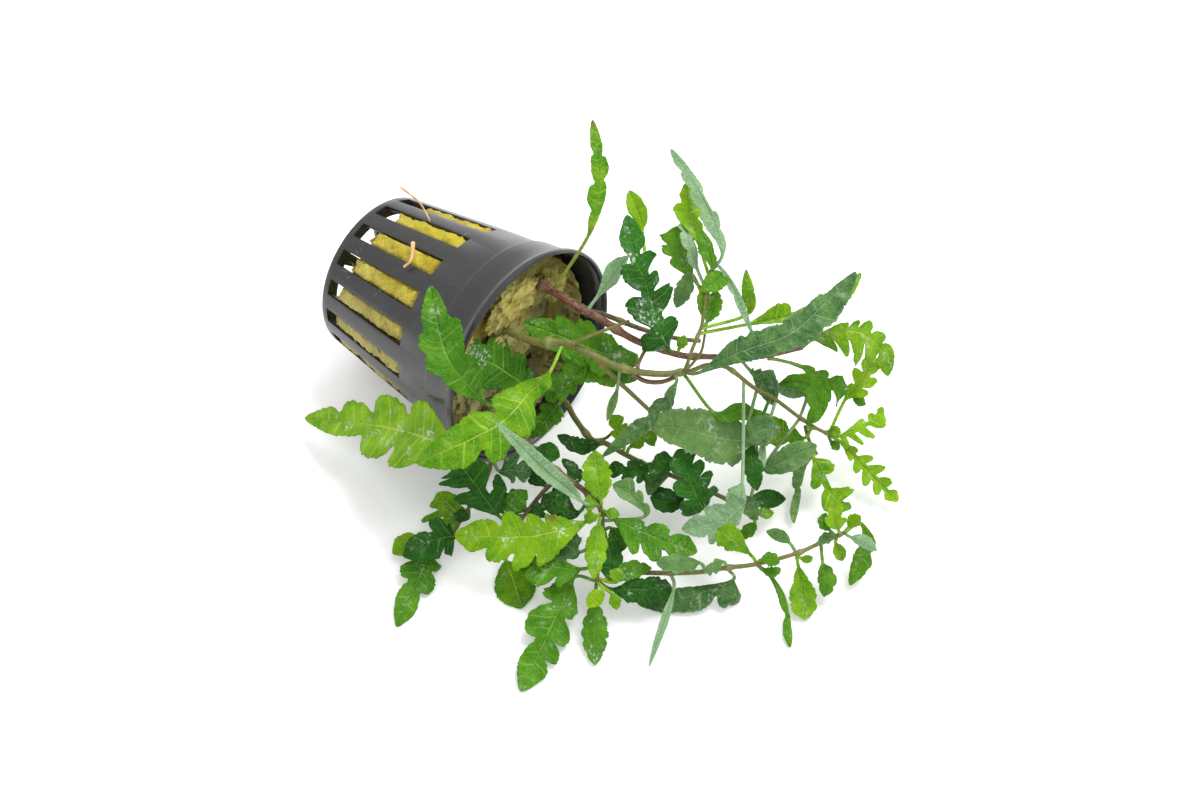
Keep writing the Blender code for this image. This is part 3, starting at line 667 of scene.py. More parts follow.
stems = {
    "stemUpper": {"looks": "redStem", "radii": (1.02, 0.5), "path": [(553, 291, 42), (578, 308, 43),
        (601, 319.5, 43.5), (637, 341, 43), (680, 355, 40), (704, 356.5, 38), (757, 357, 33), (802, 348, 29)],
        "knots": [(0.03, 0.55, 1.6), (0.33, 0.5, 1.3), (0.6, 0.4, 0.9)], "inPot": True},
    "stemBehind": {"looks": "brownStem", "radii": (0.7, 0.5), "path": [(572, 301, 36), (591, 311, 37.5),
        (611, 317, 38.5), (640, 328.5, 38.5), (675, 338, 36), (700, 341, 35)], "knots": [(0.5, 0.3, 1.0)],
        "inPot": True},
    "stemMain": {"looks": "greenStem", "radii": (0.95, 0.72), "path": [(516, 335, 39), (539, 342.5, 40),
        (565, 343, 41), (588, 353, 41), (611, 364, 40), (633, 371, 39), (662, 374, 38), (684, 372, 37)],
        "knots": [(0.29, 0.7, 1.3), (0.7, 0.35, 1.2), (0.98, 0.4, 0.9)], "inPot": True},
    "stemShoot": {"looks": "greenStem", "radii": (0.45, 0.34), "path": [(684, 371.5, 37.6), (687, 365, 40.5),
        (692, 350, 44), (702, 324, 48), (706, 297, 51.5), (711, 270, 54)], "knots": [(0.4, 0.4, 0.7),
        (0.75, 0.4, 0.6)]},
    "stemRight": {"looks": "greenStem", "radii": (0.56, 0.42), "path": [(684, 372, 37), (691, 371, 36.5),
        (708, 365, 35.5), (728, 368, 33), (753, 387, 27.5), (774, 398.5, 24), (799, 417, 18.5),
        (816, 428, 15), (831, 435, 12)], "knots": [(0.3, 0.4, 0.9), (0.8, 0.4, 0.8), (0.97, 0.5, 0.7)]},
    "stemTwig": {"looks": "greenStem", "radii": (0.45, 0.35), "path": [(805, 426, 14.5), (809, 440, 12),
        (817, 454, 9.5)], "knots": []},
    "stemFront": {"looks": "greenStem", "radii": (0.75, 0.5), "path": [(538, 380, 17), (564.5, 401.5, 17),
        (575, 418.5, 16), (591, 439, 15), (604.5, 442.7, 14), (632, 458, 12), (668, 474, 10), (705, 489, 8.5),
        (752, 512, 7)], "knots": [(0.3, 0.5, 1.0), (0.62, 0.4, 0.9), (0.97, 0.5, 0.8)]},
    "stemLow": {"looks": "brownStem", "radii": (0.9, 0.5), "path": [(500, 397, 24), (516, 430, 22),
        (539, 456, 19), (564, 476, 17), (586, 492, 16), (600, 507, 15), (602, 535, 12), (598, 560, 10),
        (597, 583, 8)], "knots": [(0.2, 0.4, 1.0), (0.42, 0.4, 0.9), (0.6, 0.9, 1.0), (0.85, 0.6, 0.8)]},
    "stemLeft": {"looks": "greenStem", "radii": (0.7, 0.4), "path": [(487, 402, 22), (489, 430, 21),
        (492, 455, 17), (484, 484, 11), (466, 512, 7), (449, 540, 5)], "knots": [(0.35, 0.5, 0.9),
        (0.8, 0.5, 0.7)]},
    "stemFork": {"looks": "brownStem", "radii": (0.6, 0.4), "path": [(558, 477, 14.5), (545, 490, 11),
        (530, 508, 8), (516, 528, 6), (508, 546, 5)], "knots": [(0.7, 0.5, 0.8)]},
    "stemLowRight": {"looks": "greenStem", "radii": (0.6, 0.45), "path": [(605, 560, 8.5), (632, 571, 7.5),
        (665, 573, 8), (700, 572, 8.5), (724.5, 568, 9), (757, 564, 10), (796, 553.5, 11), (816, 545, 11),
        (846, 532, 11)], "knots": [(0.27, 0.4, 0.8), (0.5, 0.6, 0.9), (0.79, 0.6, 0.8), (0.97, 0.5, 0.7)]},
}
roots = {
    "rootTop": {"radius": 0.3, "path": [(401, 187.5, 44), (411, 195, 47), (419, 202, 47), (425, 211, 46),
        (430, 221, 45)]},
    "rootHook": {"radius": 0.5, "path": [(413, 243, 46), (412.5, 252, 46.5), (410.5, 261, 46),
        (404, 267, 45)]},
    "rootSide": {"radius": 0.35, "path": [(371, 241, 33), (379, 237, 35), (388, 235, 36.5), (396, 236, 37)]},
}
twigs = {
    "twigCross": {"looks": "greenStem", "radii": (0.5, 0.35), "path": [(573, 343, 42.5), (590, 336, 44.5),
        (608, 329, 46), (629, 321, 47)]},
    "twigShort": {"looks": "brownStem", "radii": (0.45, 0.35), "path": [(637, 366, 40), (642, 356, 41.5),
        (646, 349, 42), (652, 340, 43)]},
    "twigUnder": {"looks": "brownStem", "radii": (0.6, 0.5), "path": [(633, 374, 37), (645, 381, 36),
        (661, 382, 36), (676, 377, 36.5)]},
    "twigMid": {"looks": "greenStem", "radii": (0.6, 0.5), "path": [(600, 364, 38), (618, 381, 34),
        (639.5, 401, 27), (660, 420, 20)]},
    "twigThin": {"looks": "brownStem", "radii": (0.35, 0.25), "path": [(768.6, 358.6, 31), (786, 362, 27),
        (802, 368, 24)]},
    "twigLow": {"looks": "brownStem", "radii": (0.4, 0.35), "path": [(598, 440.5, 14), (606, 438, 14),
        (612, 433, 15)]},
    "twigShoot": {"looks": "greenStem", "radii": (0.35, 0.3), "path": [(685, 371, 37.8), (693, 363, 39),
        (701, 352, 41), (704, 340, 44), (706, 326, 47)]},
}

tube = {"stemSteps": 200, "stepsPerPoint": 16, "stemSides": 14, "twigSteps": 40, "rootSteps": 36,
        "thinSides": 10, "inPot": 5, "twigKnots": [(0.0, 0.4, 0.6)], "rootTaper": (1.1, 0.6), "ripple": 0.07,
        "rippleScale": 1.1, "rippleAround": 1.2, "knotMark": 2.2, "weld": 0.002, "smooth": 75}
tubeEnds = {"close": {0: 0.0, 1: 0.75, -1: 0.75, -2: 0.0}, "reach": {0: -0.5, 1: -0.25, -1: 0.25, -2: 0.5}}


def makeTube(name, line, radii, columns, looks, knots=()):
    # a grid rolled round the line; its end rows close to points
    rows = len(line) + 3
    piece = addGrid(name, columns, rows)
    count = len(line)
    total = sum((b - a).length for a, b in zip(line, line[1:]))
    frames = []
    side = None
    for index, point in enumerate(line):
        ahead = (line[min(index + 1, count - 1)] - line[max(index - 1, 0)]).normalized()
        if side is None:
            side = ahead.cross(Vector((0, 0.3, 1))).normalized()
        side = (side - ahead * side.dot(ahead)).normalized()
        frames.append((point, side, ahead.cross(side), ahead))
    spots, marks = {}, []
    for vertex in piece.data.vertices:
        turn = (vertex.co.x + 0.5) * 2 * pi
        row = round((vertex.co.y + 0.5) * rows)
        place = min(max(row - 2, 0), count - 1)
        end = row if row < 2 else rows - 2 - row if row > rows - 2 else None
        close = tubeEnds["close"].get(end, 1.0)
        along = place / (count - 1)
        point, side, up, ahead = frames[place]
        swell, mark = 1.0, 0.0
        for middle, extra, wide in knots:
            off = (along - middle) * total / (wide * mm)
            swell += extra * exp(-off * off)
            mark = max(mark, exp(-off * off * tube["knotMark"]))
        around = Vector((cos(turn), sin(turn), 0)) * tube["rippleAround"]
        ripple = 1 + tube["ripple"] * noise.noise(point / mm * tube["rippleScale"] + around)
        radius = radii[place] * swell * ripple * close
        cap = tubeEnds["reach"].get(end, 0) * radii[place]
        vertex.co = point + (side * cos(turn) + up * sin(turn)) * (radius * mm) + ahead * (cap * mm)
        spots[vertex.index] = (turn / (2 * pi), along * total / mm)
        marks.append(mark)
    layer = newMap(piece.data, "stemMap")
    for loop in piece.data.loops:
        layer.data[loop.index].uv = spots[loop.vertex_index]
    setAttribute(piece.data, "knot", marks)
    closeSeams(piece, tube["weld"] * mm)
    smoothShade(piece, tube["smooth"])
    piece.data.materials.append(finishes[looks])
    return piece


def taper(first, last, count):
    return [first + (last - first) * index / (count - 1) for index in range(count)]


def cadName(name):
    return "".join("_" + letter.lower() if letter.isupper() else letter for letter in name)


stemHair = {"count": 2600, "long": (0.3, 0.85), "thick": 0.026, "lift": (0.8, 3.0), "looks": "hair",
            "seed": 9}
stemSlots = {"greenStem": "stem_green", "brownStem": "stem_brown", "redStem": "stem_brown"}
stemLines = {}
hairy = []
for name, stem in stems.items():
    points = [seen(*place) for place in stem["path"]]
    fine = smoothLine(points, tube["stemSteps"])
    stemLines[name] = list(zip(fine, taper(*stem["radii"], tube["stemSteps"])))
    if stem.get("inPot"):
        points = [points[0] - potOut * (tube["inPot"] * mm)] + points
    count = tube["stepsPerPoint"] * len(points)
    line, radii = smoothLine(points, count), taper(*stem["radii"], count)
    piece = makeTube(name, line, radii, tube["stemSides"], stem["looks"], stem["knots"])
    finishPiece(piece, stemSlots[stem["looks"]], [cadName(name)])
    hairy.append(piece)
for name, twig in twigs.items():
    line = smoothLine([seen(*place) for place in twig["path"]], tube["twigSteps"])
    radii = taper(*twig["radii"], tube["twigSteps"])
    piece = makeTube(name, line, radii, tube["thinSides"], twig["looks"], tube["twigKnots"])
    finishPiece(piece, stemSlots[twig["looks"]])
for name, root in roots.items():
    line = smoothLine([seen(*place) for place in root["path"]], tube["rootSteps"])
    radii = taper(*[root["radius"] * share for share in tube["rootTaper"]], tube["rootSteps"])
    piece = makeTube(name, line, radii, tube["thinSides"], "root")
    finishPiece(piece, "root_tan", [cadName(name)])
finishPiece(makeFibres("stemHairs", hairy, stemHair), "leaf_pale")
print("stems and roots ready")


# Leaves: rib from the stem to the tip, its second point where the blade starts, and the lobe tips as
# pixels. A leaf with no lobe pixels has a width in mm and a count of lobes on each side. Where a plan says
# so: sinus is the width between lobes as a share of theirs, dew how wet it is, spot the pixel of a brown
# mark, and fold how far its sides lift.

# dew also sets how many painted highlight specks a leaf gets
leaf = {"fine": (110, 20), "coarse": (70, 14), "thick": 0.24, "petiole": 0.42, "tip": 0.2, "sinus": 0.42,
        "lean": 0.5, "gap": 0.14, "round": 2.1, "point": 0.6, "ribPoints": 61, "teeth": 0.42,
        "lowest": 0.3, "facing": radians(63), "onStem": 0.6, "missCost": 0.15, "leastStep": 0.001,
        "widest": 0.45, "fullness": 0.7, "notch": 0.2, "plainVeins": 6, "plainSwell": 1.2, "plainLean": 0.3,
        "startFade": 0.08, "endFade": 0.2, "foldRange": (-0.1, 0.22), "curlRange": (-0.25, 0.15),
        "toneRange": (0.25, 0.7), "dew": 0.25, "jagSize": 0.07, "nickSize": 0.1, "wave": 1.1, "ripple": 0.3,
        "pucker": 0.16, "groove": 0.22, "grooveWide": 0.12, "stalkRound": 0.9, "tipShare": 0.07,
        "spotSize": 7, "spotDark": 0.75, "firstLobe": 0.02, "curlWidest": 4, "flatBelow": 1.5,
        "jagScale": 0.9,
        # noise scales along and across the blade, and the layer of noise that each reads
        "waveNoise": (0.16, 0.12, 0), "rippleNoise": (0.5, 0.4, 5), "mottleNoise": (0.25, 0.25, 9)}
leafFacing = Vector((0, -cos(leaf["facing"]), sin(leaf["facing"])))


def plan(looks, stem, rib, lobes=(), **options):
    return {"looks": looks, "stem": stem, "rib": rib, "lobes": lobes, **options}


leaves = {
    "leafTall": plan("lime", None, [(555, 287, 43.5), (588, 236, 53.5), (597, 205, 57), (599, 177, 60),
        (596, 146, 62.5), (592.5, 120, 64)], [(588, 221), (587.5, 195), (590.5, 164), (589.5, 139),
        (607, 188.6), (609, 166), (602, 141)], sinus=0.55, tone=0.1, brownTip=1.0, brownStalk=0.4),
    "leafPaleUp": plan("pale", "stemUpper", [(586, 312, 43), (597, 297, 45), (612, 278, 47),
        (628, 256, 49.5)], [(607, 264), (617, 283)], sinus=0.6),
    "leafDarkUp": plan("dark", "stemUpper", [(674, 354, 40), (669, 348, 43.5), (659, 327, 48), (645, 281, 53),
        (635, 258, 56), (627, 215, 60)], [(619, 240), (622.5, 278), (626, 308.5), (642, 347), (645, 236),
        (656.5, 254), (659, 273), (672, 285), (679, 322)], sinus=0.34, tone=0.5, dew=1.0, gap=0.2,
        tipTone=0.9),
    "leafYellowUp": plan("lime", "stemShoot", [(709, 276, 54), (700, 246, 57), (691, 214, 60),
        (686, 183, 62)], [(673, 209), (679, 192), (702, 207), (703, 224)], sinus=0.6, tone=0.9),
    "leafPaleLong": plan("pale", "stemShoot", [(712, 268, 55), (722, 256, 60), (720, 238, 62), (711, 214, 63),
        (699, 190, 65), (684, 167, 65), (671, 149, 64)], [(674, 163), (683, 180), (692, 200), (701, 221),
        (700, 181), (710, 206), (718, 214), (726, 240)], sinus=0.62),
    "leafPaleNarrow": plan("pale", "stemShoot", [(712, 266, 55), (719, 266, 56.5), (731, 284, 54),
        (741, 306, 51), (753, 335, 46)], [(736, 304), (744, 302), (728, 288)], sinus=0.6),
    "leafFar": plan("lime", "stemShoot", [(702, 334, 45.5), (748, 324, 43), (785, 317, 42), (825, 302, 42),
        (861, 273, 43)], [(778, 304), (812, 303), (848, 302)], sinus=0.3, tone=0.6),
    "leafBigRight": plan("dull", "stemMain", [(684, 374, 38), (700, 372, 41), (740, 352, 45), (790, 334, 47),
        (825, 303, 48), (856, 272, 49)], [(738, 336), (752, 330), (768, 326), (790, 314), (812, 300),
        (835, 285), (757, 360), (775, 356), (791, 351), (806, 346), (818, 338), (836, 322)], sinus=0.84,
        tone=0.2),
    "leafArch": plan("lime", "stemUpper", [(802, 347, 29), (814, 339, 31), (839, 331, 34), (859, 332, 34),
        (876, 342, 30), (886, 356, 25), (888, 376, 20)], [(846, 322), (859, 320), (873, 321), (884, 333),
        (893, 348), (836, 352), (847, 357), (857, 365), (867, 362), (876, 364)], sinus=0.34, tone=0.45,
        dew=0.5),
    "leafFan": plan("lime", "stemRight", [(829, 433, 12), (845, 400, 17), (858, 385, 20), (867, 372, 22),
        (873, 352, 23)], [(853, 369), (848, 385), (862, 360), (880, 368), (876, 384), (868, 395)], sinus=0.4,
        tone=0.9),
    "leafMidRight": plan("mid", "stemUpper", [(768, 357, 32), (802, 366, 26), (824, 380, 23), (848, 390, 21)],
        [(812, 366), (826, 370), (843, 376), (816, 392), (826, 402), (838, 411), (849, 402)], sinus=0.42,
        tone=0.8, dew=0.5),
    "leafFeatherUp": plan("lime", "stemRight", [(830, 435, 13), (840, 436, 13), (858, 428, 13),
        (871, 420, 13), (883, 407, 13)], [(861, 418), (870, 412), (879, 407), (854, 446), (864, 445),
        (876, 437), (886, 426)], sinus=0.2, tone=0.75, gap=0.3),
    "leafFeatherDown": plan("lime", "stemRight", [(831, 436, 11), (842, 443, 10), (862, 465, 7),
        (880, 484, 5), (898, 501, 3)], [(849, 460), (854, 472), (863, 485), (875, 494.5), (887, 501),
        (857, 449), (873.6, 457), (884.5, 466), (892.6, 480), (899, 492)], sinus=0.26, tone=0.72, gap=0.26),
    "leafOak": plan("lime", "stemTwig", [(812, 455, 9.5), (814, 458, 10), (823, 478, 8), (833, 496, 6),
        (851, 508, 5)], [(834, 462), (811, 487), (854, 489), (825, 511), (870, 515)], sinus=0.2, gap=0.36,
        tone=0.4),
    "leafEnd": plan("mid", "stemLowRight", [(846, 532, 11), (861, 523, 10), (866, 548, 7), (850, 585, 2)],
        [(876, 544), (871, 567), (853, 555)], tone=0.75, sinus=0.6),
    "leafPaddle": plan("lime", "stemLowRight", [(797, 555, 10), (798, 564, 8), (802, 590, 4),
        (805, 620, 1.2)], wide=6.8, lobeCount=1, widest=0.62, tone=0.5),
    "leafUnder": plan("dull", "stemLowRight", [(728, 570, 7.5), (733, 580, 6), (700, 593, 4), (668, 602, 2.5),
        (645, 606, 1.5)], [(737, 604), (700, 611), (676, 588)], tone=0.0, dew=0.7),
    "leafGlossy": plan("dark", "stemLow", [(598, 582, 8), (612, 589, 8), (640, 589, 7.5), (672, 588, 6.5)],
        [(634, 578), (655, 576), (668, 579), (628, 603), (648, 608), (664, 602)], sinus=0.85, dew=0.5),
    "leafBroad": plan("dull", "stemFront", [(748, 510, 8), (757, 450, 16), (718, 438, 21), (690, 431, 22),
        (648, 425, 22)], [(665, 406), (700, 407), (732, 412), (668, 444), (692, 455), (712, 463), (735, 467)],
        sinus=0.93, tone=0.95, dew=0.7),
    "leafBrightRight": plan("lime", "stemRight", [(812, 427, 14), (804, 438, 13.5), (785, 432, 15),
        (765, 420, 16), (748, 409, 17)], [(784, 420), (796, 428), (770, 445), (790, 452)], tone=0.2),
    "leafPendant": plan("pale", "stemRight", [(745, 379, 30), (742.5, 484, 20), (738, 502, 17),
        (725, 517, 14.5), (706, 524, 13), (682, 529, 12)], [(728, 489), (708, 505), (691, 516), (697, 539),
        (712, 545), (726, 536)], sinus=0.6, tone=0.15),
    "leafMaple": plan("dark", "stemFront", [(712, 492, 8.5), (704, 508, 10), (694, 490, 13), (685, 466, 16),
        (678, 449, 18)], [(722, 493), (712, 472), (704, 462), (694, 450), (685, 518), (673, 489), (668, 466)],
        sinus=0.42, tone=0.95, dew=0.4),
    "leafWedge": plan("lime", "stemLowRight", [(757, 563, 10), (752, 556, 12), (738, 544, 14),
        (718, 529, 15.5)], wide=6.4, lobeCount=1, tone=0.2, widest=0.68),
    "leafLongDull": plan("dull", "stemMain", [(675, 373, 38.5), (676, 383, 40), (662, 404, 36),
        (640, 428, 30), (603, 456, 22)], [(668, 388), (652, 403), (630, 423), (672, 407), (652, 428)],
        tone=0.25),
    "leafTopBright": plan("lime", "stemLow", [(601, 507, 16), (601, 500, 18), (597, 475, 21), (595, 450, 23)],
        wide=7.2, lobeCount=3, tone=0.5),
    "leafLeftBright": plan("lime", "stemLow", [(599, 514, 15), (585, 522, 16), (560, 530, 16), (520, 537, 14),
        (454.5, 535, 12)], [(508, 511), (530, 513), (547, 513), (483, 518), (493, 563), (519, 572),
        (540.5, 567), (465, 552)], tone=0.5, sinus=0.55, dew=0.9, spot=(552, 517)),
    "leafRightBright": plan("mid", "stemLow", [(602, 514, 15), (613, 518, 16), (650, 535, 15),
        (697, 552, 13)], [(638, 518), (664, 524), (687, 535), (631.5, 554), (651, 561), (677, 559)],
        tone=0.65, sinus=0.5, dew=0.4),
    "leafDownBright": plan("lime", "stemLow", [(600, 516, 15), (599, 523, 17), (596, 550, 16),
        (593.6, 579, 14)], wide=5.4, lobeCount=2, tone=0.55),
    "leafHairyLong": plan("pale", "stemLow", [(598, 506, 16.5), (585, 503, 19), (570, 490, 23),
        (545, 470, 31), (520, 445, 40), (494.5, 421, 46)], wide=3.9, lobeCount=0, point=0.9, fold=0.45),
    "leafFarLeft": plan("lime", "stemLeft", [(491, 447, 20), (465, 449, 29), (434, 440, 30), (381.6, 426, 20),
        (305, 418, 6)], [(326.5, 405.5), (353, 400), (390, 395), (427.6, 401), (369, 459), (392, 468),
        (334, 436)], tone=0.62, sinus=0.5, dew=0.7),
    "leafBigFront": plan("lime", "stemMain", [(563, 345, 42), (549, 373, 41), (531, 391, 38), (504, 420, 37),
        (469, 440, 36), (416, 463, 33)], [(467, 414), (494, 395), (463, 469), (502, 460), (531, 434),
        (547, 391)], tone=0.15, sinus=0.5, dew=0.1),
    "leafPotSide": plan("mid", None, [(497, 400, 33), (487, 404, 36), (455, 370, 48), (441, 340, 52),
        (431, 286, 57)], [(421, 318), (419, 346), (426, 368), (443, 382), (446, 306), (462, 326), (480, 366)],
        sinus=0.8, tone=0.42, dew=0.3),
    "leafPotMouth": plan("mid", None, [(538, 394, 24), (530, 389, 27), (500, 368, 33), (472, 352, 40),
        (463, 341, 43)], [(476, 333.5), (505, 338), (523, 353), (538, 371), (470, 371), (484, 388),
        (508, 408)], sinus=0.62, tone=0.3, dew=1.0),
    "leafUnderMain": plan("mid", "stemMain", [(640, 367, 36.5), (634, 364, 36.5), (600, 352, 37),
        (560, 336, 38), (524, 322, 39)], [(636, 352), (608, 333), (587, 319), (562, 316), (547, 318),
        (625, 374), (600, 376), (570, 364), (540, 347)], sinus=0.8, tone=0.75, dew=0.6),
    "leafDeepDark": plan("dark", "stemFork", [(518, 525, 6.5), (499, 516, 11), (478, 488, 15),
        (458, 461, 17)], [(435, 471.5), (439, 484), (455, 502), (486, 462), (506, 489)], sinus=0.28,
        tone=0.75, gap=0.24),
    "leafBehindLeft": plan("lime", "stemLeft", [(468, 510, 7), (461, 517, 6), (450, 506, 6), (437, 493, 6)],
        [(421, 521), (429, 506), (461, 496), (468, 510), (440, 523)], sinus=0.5, tone=0.35),
    "leafDarkLeft": plan("dark", "stemLeft", [(449, 541, 6), (455, 536, 7.5), (430, 541, 7.5), (403, 556, 5)],
        [(452, 521), (436, 517), (413, 535), (455, 555), (438, 560)], sinus=0.5, tone=0.7),
    "leafLeftTip": plan("mid", "stemLeft", [(449, 542, 4), (431, 554.5, 3), (418, 580, 1.8), (397, 626, 0.6)],
        [(446, 559), (435, 587), (416, 611.5), (401, 566), (396, 596)], tone=0.65, sinus=0.55),
    "leafFrontTip": plan("mid", "stemLow", [(597, 581, 7), (574, 577, 6), (562, 604, 4), (545, 640, 2),
        (521, 691, 0.6)], [(543, 591), (527, 617), (517, 664), (576, 615), (569, 643), (558, 663),
        (547, 676)], tone=0.75, sinus=0.45, dew=0.6),
    "leafFrontRound": plan("lime", "stemFork", [(508, 547, 4.5), (506, 560, 3.5), (513, 580, 2),
        (521, 608, 0.8)], wide=9.8, lobeCount=0, tone=0.05),
    "leafFrontMid": plan("mid", "stemLow", [(600, 566, 9), (580, 569, 9.5), (555, 567, 10), (518, 560, 9.5)],
        [(536, 587), (560, 588), (548, 548), (522, 548)], tone=0.7, dew=0.3),
    "leafFrontSmall": plan("mid", "stemLow", [(597, 583, 7), (595, 602, 6), (595, 632, 3.5), (594.7, 665, 1)],
        wide=6.4, lobeCount=3, tone=0.6, dew=0.6),
}
